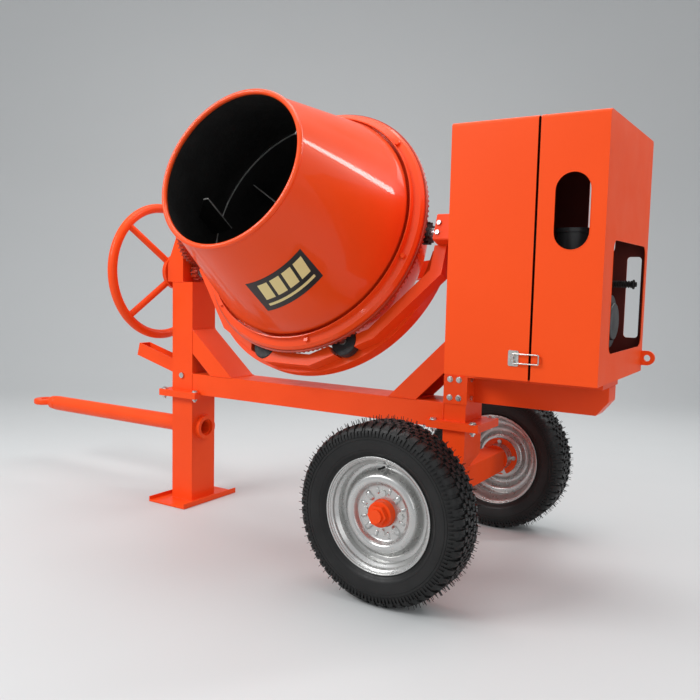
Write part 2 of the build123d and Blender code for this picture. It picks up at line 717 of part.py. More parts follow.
with BuildPart() as tilt_gear:
    with BuildSketch(looking_along_x(gear_near, z=tilt_z)):
        Circle(tilt_gear_radius - dedendum * tooth_scale)
        gear_teeth(tilt_gear_teeth, tilt_gear_radius, -90 + 180 / tilt_gear_teeth, tooth_scale)
        Circle(left_pin_radius, mode=Mode.SUBTRACT)
        with PolarLocations(74, 6):
            Circle(20, mode=Mode.SUBTRACT)
    extrude(amount=gear_width)
tilt_gear.part.label = "tilt_gear"
export_step(tilt_gear.part, "parts/tilt_gear.step")

# ---------------------------------------------------------------- cradle that carries the drum
cradle_front = 10             # along the drum axis
cradle_back = -45
rim_back = -100
cradle_side = block_out - 28
cradle_radius = ring_radius + 46   # the cradle's lower corners lie this far from the drum axis
cradle_corners = [(cradle_side, -block_size / 2), (cradle_side, -165)]
for corner_angle in (-49, -79):
    cradle_corners.append(
        (cradle_radius * cos(radians(corner_angle)), cradle_radius * sin(radians(corner_angle)))
    )
cradle_core = 11 / 12         # the cradle's inner facets follow its outer ones at this scale
roller_angles = (-106, -62)   # where the two support rollers sit, seen from the mouth
roller_radius = 55
roller_pitch = bowl_radius + 0.3 + roller_radius
roller_width = 40
roller_back = -40
roller_pin_radius = 9
roller_pocket = 61
roller_places = [
    (roller_pitch * cos(radians(turn)), roller_pitch * sin(radians(turn))) for turn in roller_angles
]


def mirrored_outline(corners):
    """The right-hand corners, then the same corners on the left, as one closed outline."""
    return corners + [(-x, y) for x, y in reversed(corners)]


with BuildPart() as yoke_cradle:
    with BuildSketch(drum_plane.offset(cradle_back)):
        Polygon(*mirrored_outline(cradle_corners), align=None)
        inner = [(x * cradle_core, y * cradle_core) for x, y in cradle_corners]
        Polygon(*mirrored_outline([(inner[0][0], 0)] + inner[1:]), align=None, mode=Mode.SUBTRACT)
    extrude(amount=cradle_front - cradle_back)
    with BuildSketch(drum_plane.offset(cradle_front)):
        with Locations(*roller_places):
            Circle(roller_pocket)
    extrude(amount=cradle_back - cradle_front, mode=Mode.SUBTRACT)
    with BuildSketch(drum_plane.offset(rim_back)):
        Circle(rim_outer)
        Circle(rim_inner, mode=Mode.SUBTRACT)
        with Locations((0, -block_size / 2)):
            Rectangle(3 * rim_outer, 2 * rim_outer, align=(Align.CENTER, Align.MIN), mode=Mode.SUBTRACT)
    extrude(amount=cradle_back - rim_back)
    with BuildSketch(drum_plane.offset(cradle_back - 20)):
        with Locations(*roller_places):
            Circle(34)
            Circle(roller_pin_radius, mode=Mode.SUBTRACT)
    extrude(amount=20)
yoke_cradle.part.label = "yoke_cradle"
export_step(yoke_cradle.part, "parts/yoke_cradle.step")

block_half = block_size / 2
with BuildPart() as trunnion_blocks:
    for side, bore in ((-1, left_pin_radius), (1, trunnion_radius)):
        with BuildSketch(along_tipping_axis(drum_x + side * block_in)):
            Rectangle(block_size, block_size + 16)
            Circle(bore, mode=Mode.SUBTRACT)
        extrude(amount=side * block_reach)
    chamfer(trunnion_blocks.edges().filter_by(Axis.X).filter_by(GeomType.LINE), length=4)
trunnion_blocks.part.label = "trunnion_blocks"
export_step(trunnion_blocks.part, "parts/trunnion_blocks.step")

left_pin_end = bracket_top_x - bush_stand - 6
with BuildPart() as trunnion_pins:
    with BuildSketch(along_tipping_axis(left_pin_end)):
        Circle(left_pin_radius)
    extrude(amount=drum_x - block_in - left_pin_end)
    with BuildSketch(along_tipping_axis(drum_x + block_in)):
        Circle(trunnion_radius)
        Circle(drive_shaft_radius + fit, mode=Mode.SUBTRACT)
    extrude(amount=post_end + 2 - drum_x - block_in)
    for side in (-1, 1):
        with BuildSketch(drum_plane.offset(block_half + 8)):
            with Locations(*[(side * (block_in + 16), y) for y in (14, -24)]):
                RegularPolygon(10, 6)
        extrude(amount=7)
trunnion_pins.part.label = "trunnion_pins"
export_step(trunnion_pins.part, "parts/trunnion_pins.step")

back_corners = [(block_out, -60), (block_out, -200), (bowl_radius - 18, -360), (200, -bowl_depth - 105)]
back_scale = 0.96
back_half = 40                # half the back bar's width across the drum
with BuildPart() as yoke_back_bar:
    with BuildSketch(drum_profile):
        Polygon(*mirrored_outline(back_corners), align=None)
        inner = [(x * back_scale, y * back_scale) for x, y in back_corners]
        Polygon(*mirrored_outline([(inner[0][0], 0)] + inner[1:]), align=None, mode=Mode.SUBTRACT)
    extrude(amount=back_half, both=True)
    with BuildSketch(drum_plane.offset(back_corners[-1][1])):
        Circle(16)
    extrude(amount=30, mode=Mode.SUBTRACT)
yoke_back_bar.part.label = "yoke_back_bar"
export_step(yoke_back_bar.part, "parts/yoke_back_bar.step")

axle_radius = 25
bearing_front = -bowl_depth - 14
bearing_seat = back_corners[-1][1] * back_scale
with BuildPart() as drum_bearing:
    with BuildSketch(drum_plane.offset(bearing_seat)):
        Circle(62)
        Circle(axle_radius + fit, mode=Mode.SUBTRACT)
    extrude(amount=bearing_front - bearing_seat)
    with BuildSketch(drum_plane.offset(bearing_seat)):
        Rectangle(190, 76)
        Circle(62, mode=Mode.SUBTRACT)
        with Locations((-76, 0), (76, 0)):
            Circle(bolt_radius, mode=Mode.SUBTRACT)
    extrude(amount=14)
drum_bearing.part.label = "drum_bearing"
export_step(drum_bearing.part, "parts/drum_bearing.step")

with BuildPart() as roller_pins:
    with BuildSketch(drum_plane.offset(cradle_back - 20)):
        with Locations(*roller_places):
            Circle(roller_pin_radius)
    extrude(amount=20 - cradle_back + roller_back + roller_width + 1)
    with BuildSketch(drum_plane.offset(roller_back + roller_width + 1)):
        with Locations(*roller_places):
            RegularPolygon(roller_pin_radius + 7, 6)
    extrude(amount=9)
    with BuildSketch(drum_plane.offset(cradle_back - 30)):
        with Locations(*roller_places):
            RegularPolygon(roller_pin_radius + 7, 6)
    extrude(amount=10)
roller_pins.part.label = "roller_pins"
export_step(roller_pins.part, "parts/roller_pins.step")


def support_roller(place, name):
    """A rubber-tyred support roller that runs on the bowl and turns on its pin."""
    with BuildPart() as roller:
        with BuildSketch(drum_plane.offset(roller_back)):
            with Locations(place):
                Circle(roller_radius)
                Circle(roller_pin_radius + fit, mode=Mode.SUBTRACT)
        extrude(amount=roller_width)
        fillet(roller.edges().sort_by(SortBy.LENGTH)[-2:], radius=7)
    roller.part.label = name
    export_step(roller.part, "parts/" + name + ".step")


support_roller(roller_places[0], "left_roller")
support_roller(roller_places[1], "right_roller")

# ---------------------------------------------------------------- drum
bead = 10                     # radius of the rolled edge round the mouth
cone_slope = (cone_radius - mouth_radius) / (mouth_height - cone_foot)
with BuildPart() as drum_cone:
    with BuildSketch(drum_profile):
        Polygon(
            (mouth_radius, mouth_height),
            (cone_radius, cone_foot),
            (cone_radius, cone_foot - 12),
            (bowl_radius - drum_wall, cone_foot - 12),
            (bowl_radius - drum_wall, cone_foot - 12 + drum_wall),
            (cone_radius - drum_wall, cone_foot - 12 + drum_wall),
            (cone_radius - drum_wall, cone_foot),
            (mouth_radius - drum_wall, mouth_height),
            align=None,
        )
        with Locations((mouth_radius - 2, mouth_height)):
            Circle(bead)
    revolve(axis=drum_axis)
drum_cone.part.label = "drum_cone"
export_step(drum_cone.part, "parts/drum_cone.step")

bowl_bend = -60               # the bowl turns in from here
bowl_shoulder = (bowl_radius - 48, -205)
bowl_floor = bowl_radius - 198     # radius where the curved side meets the shallow bottom
bowl_floor_at = -300
axle_plate = 70               # radius of the doubler plate inside the bottom
bottom_slope = (bowl_depth + bowl_floor_at) / bowl_floor


def bottom(radius, inset=0):
    """Place along the drum axis of the shallow bottom at a radius."""
    return inset - bowl_depth + bottom_slope * radius


with BuildPart() as drum_bowl:
    with BuildSketch(drum_profile):
        with BuildLine():
            inside = bowl_radius - drum_wall
            Line((bowl_radius, cone_foot - 12), (bowl_radius, bowl_bend))
            ThreePointArc((bowl_radius, bowl_bend), bowl_shoulder, (bowl_floor, bottom(bowl_floor)))
            Line((bowl_floor, bottom(bowl_floor)), (axle_radius, bottom(axle_radius)))
            Line((axle_radius, bottom(axle_radius)), (axle_radius, bottom(axle_radius, drum_wall)))
            Line((axle_radius, bottom(axle_radius, drum_wall)), (bowl_floor, bottom(bowl_floor, drum_wall)))
            ThreePointArc(
                (bowl_floor, bottom(bowl_floor, drum_wall)),
                (bowl_shoulder[0] - 3, bowl_shoulder[1] + 3),
                (inside, bowl_bend),
            )
            Line((inside, bowl_bend), (inside, cone_foot - 12))
            Line((inside, cone_foot - 12), (bowl_radius, cone_foot - 12))
        make_face()
    revolve(axis=drum_axis)
drum_bowl.part.label = "drum_bowl"
export_step(drum_bowl.part, "parts/drum_bowl.step")

axle_end = bearing_seat + 6
with BuildPart() as drum_axle:
    with BuildSketch(drum_profile):
        Polygon(
            (0, axle_end),
            (axle_radius, axle_end),
            (axle_radius, bottom(axle_radius, drum_wall)),
            (axle_plate, bottom(axle_plate, drum_wall)),
            (axle_plate, bottom(axle_plate, 3 * drum_wall)),
            (0, bottom(0, 3 * drum_wall)),
            align=None,
        )
    revolve(axis=drum_axis)
drum_axle.part.label = "drum_axle"
export_step(drum_axle.part, "parts/drum_axle.step")

flange_lip = cone_radius + 16 # outside of the flange's lip round the cone
flange_lip_wall = 4
flange_bolt_radius = flange_lip + 11
flange_bolt_count = 6
flange_outer = ring_radius - 7
with BuildPart() as drum_flange:
    with BuildSketch(drum_profile):
        Polygon(
            (bowl_radius, ring_back),
            (flange_outer, ring_back),
            (flange_outer, ring_back + 10),
            (flange_outer - 9, ring_back + 22),
            (flange_lip, ring_back + 27),
            (flange_lip, ring_back + 50),
            (flange_lip - flange_lip_wall, ring_back + 50),
            (flange_lip - flange_lip_wall, ring_back + 5),
            (bowl_radius, ring_back + 5),
            align=None,
        )
    revolve(axis=drum_axis)
drum_flange.part.label = "drum_flange"
export_step(drum_flange.part, "parts/drum_flange.step")

with BuildPart() as flange_bolts:
    with BuildSketch(drum_plane.offset(ring_back + 27)):
        with PolarLocations(flange_bolt_radius, flange_bolt_count, start_angle=45):
            RegularPolygon(11, 6)
    extrude(amount=9)
flange_bolts.part.label = "flange_bolts"
export_step(flange_bolts.part, "parts/flange_bolts.step")

ring_pitch = 360 / ring_teeth
ring_tooth = 2 * pi * (ring_radius - ring_face / 2) / ring_teeth * tooth_share
with BuildPart() as ring_gear:
    with BuildSketch(drum_plane.offset(ring_root)):
        Circle(ring_radius)
        Circle(ring_radius - ring_face - 2, mode=Mode.SUBTRACT)
    extrude(amount=ring_body)
    with BuildSketch(drum_plane.offset(ring_root)):
        with PolarLocations(ring_radius - ring_face / 2, ring_teeth, start_angle=ring_pitch / 2):
            Rectangle(ring_face, ring_tooth)
    extrude(amount=-(addendum + dedendum))
ring_gear.part.label = "ring_gear"
export_step(ring_gear.part, "parts/ring_gear.step")

blade_count = 3
blade_half = 4
blade_start = 149
fin_start = 185
fin_end = 280
with BuildPart() as cone_fins:
    for index in range(blade_count):
        turn = radians(360 * index / blade_count + fin_start)
        outward = drum_plane.x_dir * cos(turn) + drum_plane.y_dir * sin(turn)
        with BuildSketch(Plane(origin=drum_plane.origin, x_dir=outward, z_dir=outward.cross(Vector(mouth_dir)))):
            Polygon(
                (cone_radius, cone_foot),
                (0.73 * cone_radius, cone_foot + 31),
                (0.54 * cone_radius, 405),
                (0.59 * cone_radius, 405),
                (cone_radius - cone_slope * (fin_end - cone_foot), fin_end),
                align=None,
            )
        extrude(amount=blade_half, both=True)
    with Locations(drum_plane.offset(cone_foot).location):
        Cone(
            cone_radius - drum_wall,
            mouth_radius - drum_wall,
            mouth_height - cone_foot,
            align=(Align.CENTER, Align.CENTER, Align.MIN),
            mode=Mode.INTERSECT,
        )

with BuildPart() as mixing_blades:
    for index in range(blade_count):
        turn = radians(360 * index / blade_count + blade_start)
        outward = drum_plane.x_dir * cos(turn) + drum_plane.y_dir * sin(turn)
        with BuildSketch(Plane(origin=drum_plane.origin, x_dir=outward, z_dir=outward.cross(Vector(mouth_dir)))):
            Polygon((bowl_radius, 40), (bowl_radius, -40), (190, -170), (120, -60), (230, 60), align=None)
        extrude(amount=blade_half, both=True)
    with BuildSketch(drum_plane.offset(-bowl_depth)):
        Circle(bowl_radius - drum_wall)
    extrude(amount=2 * bowl_depth, mode=Mode.INTERSECT)
    add(cone_fins.part)
mixing_blades.part.label = "mixing_blades"
export_step(mixing_blades.part, "parts/mixing_blades.step")

# ---------------------------------------------------------------- drive
pinion_face = drum_x + ring_radius - ring_face
with BuildPart() as drive_pinion:
    with BuildSketch(along_tipping_axis(pinion_face)):
        Circle(pinion_radius - dedendum)
        gear_teeth(pinion_teeth, pinion_radius, 90)
        Circle(drive_shaft_radius, mode=Mode.SUBTRACT)
    extrude(amount=ring_face)
drive_pinion.part.label = "drive_pinion"
export_step(drive_pinion.part, "parts/drive_pinion.step")

with BuildPart() as drive_shaft:
    with BuildSketch(along_tipping_axis(pinion_face)):
        Circle(drive_shaft_radius)
    extrude(amount=pulley_x + pulley_width + 8 - pinion_face)
    with BuildSketch(along_tipping_axis(pinion_face - 5)):
        Circle(drive_shaft_radius + 8)
    extrude(amount=5)
drive_shaft.part.label = "drive_shaft"
export_step(drive_shaft.part, "parts/drive_shaft.step")

groove_depth = 13
belt_width = 13
belt_height = 9


def pulley_section(radius, bore):
    """Half section of a V-groove pulley: local x along X from the near face, local y the radius."""
    middle = pulley_width / 2
    return (
        (0, bore),
        (0, radius),
        (middle - 9, radius),
        (middle - 7, radius - groove_depth),
        (middle + 7, radius - groove_depth),
        (middle + 9, radius),
        (pulley_width, radius),
        (pulley_width, bore),
    )


with BuildPart() as drive_pulley:
    with BuildSketch(Plane(origin=(pulley_x, 0, tilt_z), x_dir=(1, 0, 0), z_dir=(0, -1, 0))):
        Polygon(*pulley_section(big_pulley_radius, drive_shaft_radius), align=None)
    revolve(axis=Axis((0, 0, tilt_z), (1, 0, 0)))
    with BuildSketch(looking_along_x(pulley_x - 1, z=tilt_z)):
        with PolarLocations(96, 5):
            Circle(38)
    extrude(amount=pulley_width + 2, mode=Mode.SUBTRACT)
drive_pulley.part.label = "drive_pulley"
export_step(drive_pulley.part, "parts/drive_pulley.step")

engine_x = pulley_x + 110     # face of the engine that the shaft comes out of
with BuildPart() as engine_pulley:
    with BuildSketch(Plane(origin=(pulley_x, 0, engine_shaft_z), x_dir=(1, 0, 0), z_dir=(0, -1, 0))):
        Polygon(*pulley_section(small_pulley_radius, engine_shaft_radius), align=None)
    revolve(axis=Axis((0, 0, engine_shaft_z), (1, 0, 0)))
    with BuildSketch(looking_along_x(pulley_x - 4, z=engine_shaft_z)):
        Circle(engine_shaft_radius)
    extrude(amount=engine_x + 30 - pulley_x + 4)
engine_pulley.part.label = "engine_pulley"
export_step(engine_pulley.part, "parts/engine_pulley.step")

belt_gap = 0.6                # between the belt and the pulley grooves
belt_inner_big = big_pulley_radius - groove_depth + belt_gap
belt_inner_small = small_pulley_radius - groove_depth + belt_gap
pulley_distance = tilt_z - engine_shaft_z
wrap = asin((big_pulley_radius - small_pulley_radius) / pulley_distance)


def belt_outline(extra):
    """Outline of the belt's loop round both pulleys: two arcs and two straight runs."""
    big = belt_inner_big + extra
    small = belt_inner_small + extra
    big_y = big * cos(wrap)
    big_z = tilt_z - big * sin(wrap)
    small_y = small * cos(wrap)
    small_z = engine_shaft_z - small * sin(wrap)
    with BuildLine(Plane.XY) as loop:
        ThreePointArc((-big_y, big_z), (0, tilt_z + big), (big_y, big_z))
        Line((big_y, big_z), (small_y, small_z))
        ThreePointArc((small_y, small_z), (0, engine_shaft_z - small), (-small_y, small_z))
        Line((-small_y, small_z), (-big_y, big_z))
    return loop.edges()


with BuildPart() as drive_belt:
    with BuildSketch(looking_along_x(pulley_x + (pulley_width - belt_width) / 2)):
        make_face(belt_outline(belt_height))
    extrude(amount=belt_width)
    with BuildSketch(looking_along_x(pulley_x)):
        make_face(belt_outline(0))
    extrude(amount=pulley_width, mode=Mode.SUBTRACT)
drive_belt.part.label = "drive_belt"
export_step(drive_belt.part, "parts/drive_belt.step")

# ---------------------------------------------------------------- engine
engine_floor = cabinet_floor + sheet
engine_half = 115             # half width of the crankcase along Y
crankcase_x = engine_x + 30
crankcase_end = cabinet_end - 73
crankcase_low = engine_floor + 40
crankcase_top = engine_shaft_z + 86
foot_rail = 30
with BuildPart() as engine_block:
    with BuildSketch(looking_along_x(crankcase_x, z=crankcase_low)) as crank_section:
        Rectangle(2 * engine_half, crankcase_top - crankcase_low, align=(Align.CENTER, Align.MIN))
        fillet(crank_section.vertices(), radius=22)
    extrude(amount=crankcase_end - crankcase_x)
    with BuildSketch(Plane.XY.offset(engine_floor)):
        with Locations((cabinet_seam + 4, 60 - engine_half), (cabinet_seam + 4, engine_half - 60)):
            Rectangle(crankcase_end - cabinet_seam - 10, foot_rail, align=(Align.MIN, Align.CENTER))
    extrude(amount=crankcase_low - engine_floor)
    with BuildSketch(looking_along_x(engine_x, z=engine_shaft_z)):
        Circle(70)
    extrude(amount=crankcase_x - engine_x)
    with BuildSketch(looking_along_x(engine_x - 1, z=engine_shaft_z)):
        Circle(engine_shaft_radius + fit)
    extrude(amount=crankcase_x - engine_x + 2, mode=Mode.SUBTRACT)
engine_block.part.label = "engine_block"
export_step(engine_block.part, "parts/engine_block.step")

fin_count = 7
fin_pitch = 11
fin_thickness = 4
cylinder_x = crankcase_x + 95
cylinder_top = crankcase_top + fin_count * fin_pitch
with BuildPart() as engine_cylinder:
    with BuildSketch(Plane.XY.offset(crankcase_top)):
        with Locations((cylinder_x, 0)):
            Rectangle(88, 96)
    extrude(amount=fin_count * fin_pitch)
    for index in range(fin_count):
        fin_z = crankcase_top + (index + 1) * fin_pitch - fin_thickness
        with BuildSketch(Plane.XY.offset(fin_z)):
            with Locations((cylinder_x, 0)):
                RectangleRounded(132, 142, 12)
        extrude(amount=fin_thickness)
engine_cylinder.part.label = "engine_cylinder"
export_step(engine_cylinder.part, "parts/engine_cylinder.step")

tank_height = 44
with BuildPart() as fuel_tank:
    with BuildSketch(Plane.XY.offset(cylinder_top)):
        with Locations((cylinder_x + 5, 45)):
            RectangleRounded(140, 190, 25)
    extrude(amount=tank_height)
    fillet(fuel_tank.edges().group_by(Axis.Z)[-1], radius=12)
    with BuildSketch(Plane.XY.offset(cylinder_top + tank_height)):
        with Locations((cylinder_x + 15, 60)):
            Circle(22)
    extrude(amount=12)
fuel_tank.part.label = "fuel_tank"
export_step(fuel_tank.part, "parts/fuel_tank.step")

filter_x = cabinet_end - 121
filter_y = -178
filter_pipe_z = engine_shaft_z + 35
filter_low = filter_pipe_z + 130
filter_top = filter_low + 130
filter_radius = 58
with BuildPart() as air_filter:
    with BuildSketch(Plane.XY.offset(filter_low)):
        with Locations((filter_x, filter_y)):
            Circle(filter_radius)
    extrude(amount=filter_top - filter_low - 14)
    with BuildSketch(Plane.XY.offset(filter_top - 14)):
        with Locations((filter_x, filter_y)):
            Circle(filter_radius + 4)
    extrude(amount=14)
    with BuildSketch(Plane.XY.offset(filter_pipe_z - 18)):
        with Locations((filter_x, filter_y)):
            Circle(18)
    extrude(amount=filter_low - filter_pipe_z + 18)
    with BuildSketch(front(-engine_half)):
        with Locations((filter_x, filter_pipe_z)):
            Circle(16)
    extrude(amount=-engine_half - filter_y)
air_filter.part.label = "air_filter"
export_step(air_filter.part, "parts/air_filter.step")

muffler_y = 232
muffler_z = engine_shaft_z + 125
muffler_start = cabinet_end - 188
muffler_end = cabinet_end - 25
muffler_can = 52
pipe_radius = 9
rib_count = 12
with BuildPart() as muffler:
    with BuildSketch(looking_along_x(muffler_start, y=muffler_y, z=muffler_z)):
        Circle(31)
    extrude(amount=muffler_can)
    with BuildSketch(looking_along_x(muffler_start, y=muffler_y, z=muffler_z)):
        Circle(pipe_radius)
    extrude(amount=muffler_end - muffler_start)
    for index in range(rib_count):
        rib_x = muffler_start + muffler_can + (index + 0.5) * (muffler_end - muffler_start - muffler_can - 8) / rib_count
        with BuildSketch(looking_along_x(rib_x, y=muffler_y, z=muffler_z)):
            Circle(pipe_radius + 4)
        extrude(amount=4)
    with BuildSketch(looking_along_x(muffler_end - 5, y=muffler_y, z=muffler_z)):
        Circle(pipe_radius + 8)
    extrude(amount=5)
    with BuildSketch(looking_along_x(muffler_end, y=muffler_y, z=muffler_z)):
        RegularPolygon(10, 6)
    extrude(amount=8)
    with BuildSketch(looking_along_x(cylinder_x - 18, z=crankcase_top - 40)):
        with Locations((engine_half, 0)):
            Rectangle(muffler_y + 12 - engine_half, 15, align=(Align.MIN, Align.CENTER))
        with Locations((muffler_y, 0)):
            Rectangle(24, 70, align=(Align.CENTER, Align.MIN))
    extrude(amount=36)
muffler.part.label = "muffler"
export_step(muffler.part, "parts/muffler.step")

with BuildPart() as recoil_starter:
    with BuildSketch(looking_along_x(crankcase_end, z=engine_shaft_z)):
        Circle(88)
    extrude(amount=28)
    with BuildSketch(looking_along_x(crankcase_end + 28, z=engine_shaft_z)):
        Circle(62)
    extrude(amount=14)
    fillet(recoil_starter.edges().group_by(Axis.X)[-1], radius=6)
recoil_starter.part.label = "recoil_starter"
export_step(recoil_starter.part, "parts/recoil_starter.step")

# ---------------------------------------------------------------- cabinet
case_end = cabinet_seam - seam_gap / 2
hood_start = cabinet_seam + seam_gap / 2
cabinet_height = cabinet_top - cabinet_floor
corner = 12                   # rounded top edges of the sheet-metal boxes
shaft_hole = 32
hinge_radius = 6
hinge_pin = 3
hinge_z = cabinet_top + hinge_radius
hinge_leaf = 28
hinge_places = (-200, 200)
knuckle = 15                  # half length of the fixed middle knuckle
knuckle_gap = 1
knuckle_end = 40


def box_section(x, inset=0, open_below=0):
    """Section of a cabinet half across X, with rounded top edges, in a sketch of its own."""
    with BuildSketch(looking_along_x(x, z=cabinet_floor + inset - open_below)) as section:
        Rectangle(
            cabinet_width - 2 * inset,
            cabinet_height - 2 * inset + open_below,
            align=(Align.CENTER, Align.MIN),
        )
        fillet(section.vertices().group_by(Axis.Y)[-1], radius=corner - inset)
    return section.sketch


with BuildPart() as drive_case:
    extrude(box_section(cabinet_x), amount=case_end - cabinet_x)
    extrude(box_section(cabinet_x + sheet, sheet), amount=case_end - cabinet_x, mode=Mode.SUBTRACT)
    with BuildSketch(looking_along_x(cabinet_x - 1, z=tilt_z)):
        Circle(shaft_hole)
    extrude(amount=sheet + 2, mode=Mode.SUBTRACT)
drive_case.part.label = "drive_case"
export_step(drive_case.part, "parts/drive_case.step")

window_x = cabinet_end - 101
window_z = cabinet_top - 293
window_width = 110
window_height = 234
rear_window_x = hood_start + 55
side_opening_y = 35
side_opening_z = cabinet_floor + 269
keeper_z = cabinet_floor + 70
rear_cut_x = cabinet_end - 43
rear_cut_z = side_opening_z - 4
lug_z = cabinet_floor + 48
with BuildPart() as engine_hood:
    hollow_length = cabinet_end - hood_start + 1 - sheet
    extrude(box_section(hood_start), amount=cabinet_end - hood_start)
    extrude(box_section(hood_start - 1, sheet, 2 * sheet), amount=hollow_length, mode=Mode.SUBTRACT)
    with BuildSketch(front(1 - half_cabinet)):
        with Locations((window_x, window_z)):
            SlotOverall(window_height, window_width, rotation=90)
    extrude(amount=sheet + 2, both=True, mode=Mode.SUBTRACT)
    with BuildSketch(front(half_cabinet)):
        with Locations((rear_window_x, window_z)):
            SlotOverall(window_height, 80, rotation=90)
        with Locations((rear_cut_x, rear_cut_z)):
            RectangleRounded(50, 293, 12)
    extrude(amount=sheet + 2, both=True, mode=Mode.SUBTRACT)
    with BuildSketch(looking_along_x(cabinet_end, y=side_opening_y, z=side_opening_z)):
        RectangleRounded(460, 355, 34)
    extrude(amount=sheet + 2, both=True, mode=Mode.SUBTRACT)
    with BuildSketch(front(half_cabinet)):
        with Locations((cabinet_end, lug_z)):
            Rectangle(25, 52, align=(Align.MIN, Align.CENTER))
        with Locations((cabinet_end + 21, lug_z)):
            Circle(26)
            Circle(12, mode=Mode.SUBTRACT)
        with Locations((cabinet_end, lug_z)):
            Rectangle(30, 60, align=(Align.MAX, Align.CENTER), mode=Mode.SUBTRACT)
    extrude(amount=16)
    for hinge_y in hinge_places:
        for side in (-1, 1):
            near = hinge_y + side * (knuckle + knuckle_gap)
            length = knuckle_end - knuckle - knuckle_gap
            with BuildSketch(front(near)):
                with Locations((cabinet_seam, hinge_z)):
                    Circle(hinge_radius)
                with Locations((hood_start, cabinet_top)):
                    Rectangle(hinge_leaf, sheet, align=(Align.MIN, Align.MIN))
                with Locations((cabinet_seam, cabinet_top + sheet / 2)):
                    Rectangle(2 * seam_gap, sheet, align=(Align.MIN, Align.CENTER))
                with Locations((cabinet_seam, hinge_z)):
                    Circle(hinge_pin + fit, mode=Mode.SUBTRACT)
            extrude(amount=-side * length)
    with BuildSketch(front(-half_cabinet)):
        with Locations((hood_start + 6, keeper_z)):
            Rectangle(26, 22, align=(Align.MIN, Align.CENTER))
    extrude(amount=sheet)
engine_hood.part.label = "engine_hood"
export_step(engine_hood.part, "parts/engine_hood.step")

with BuildPart() as hood_hinge:
    for hinge_y in hinge_places:
        with BuildSketch(front(hinge_y + knuckle)):
            with Locations((cabinet_seam, hinge_z)):
                Circle(hinge_radius)
            with Locations((case_end, cabinet_top)):
                Rectangle(hinge_leaf, sheet, align=(Align.MAX, Align.MIN))
            with Locations((cabinet_seam, cabinet_top + sheet / 2)):
                Rectangle(2 * seam_gap, sheet, align=(Align.MAX, Align.CENTER))
        extrude(amount=2 * knuckle)
        with BuildSketch(front(hinge_y + knuckle_end + 2)):
            with Locations((cabinet_seam, hinge_z)):
                Circle(hinge_pin)
        extrude(amount=2 * knuckle_end + 4)
hood_hinge.part.label = "hood_hinge"
export_step(hood_hinge.part, "parts/hood_hinge.step")

latch_x = cabinet_seam - 53
bail_end = cabinet_seam + 31
bail_wire = 2.5
bail_half = 15
ear_gap = 2
bail_y = -half_cabinet - 10
latch_fit = 0.06
with BuildPart() as latch_catch:
    with BuildSketch(front(-half_cabinet)):
        with Locations((latch_x, keeper_z)):
            RectangleRounded(34, 2 * bail_half + 20, 5)
    extrude(amount=sheet)
    for side in (-1, 1):
        with BuildSketch(Plane.XY.offset(keeper_z + side * (bail_half - bail_wire - ear_gap))):
            with Locations((latch_x, bail_y)):
                Circle(6)
            with Locations((latch_x, -half_cabinet - sheet)):
                Rectangle(12, 8, align=(Align.CENTER, Align.MAX))
            with Locations((latch_x, bail_y)):
                Circle(bail_wire + latch_fit, mode=Mode.SUBTRACT)
        extrude(amount=-side * 5)
latch_catch.part.label = "latch_catch"
export_step(latch_catch.part, "parts/latch_catch.step")

with BuildPart() as latch_bail:
    with BuildLine() as bail_path:
        FilletPolyline(
            (latch_x, bail_y, keeper_z + bail_half),
            (bail_end, bail_y, keeper_z + bail_half),
            (bail_end, bail_y, keeper_z - bail_half),
            (latch_x, bail_y, keeper_z - bail_half),
            radius=3,
            close=True,
        )
    with BuildSketch(bail_path.line ^ 0):
        Circle(bail_wire)
    sweep(path=bail_path.wire())
latch_bail.part.label = "latch_bail"
export_step(latch_bail.part, "parts/latch_bail.step")

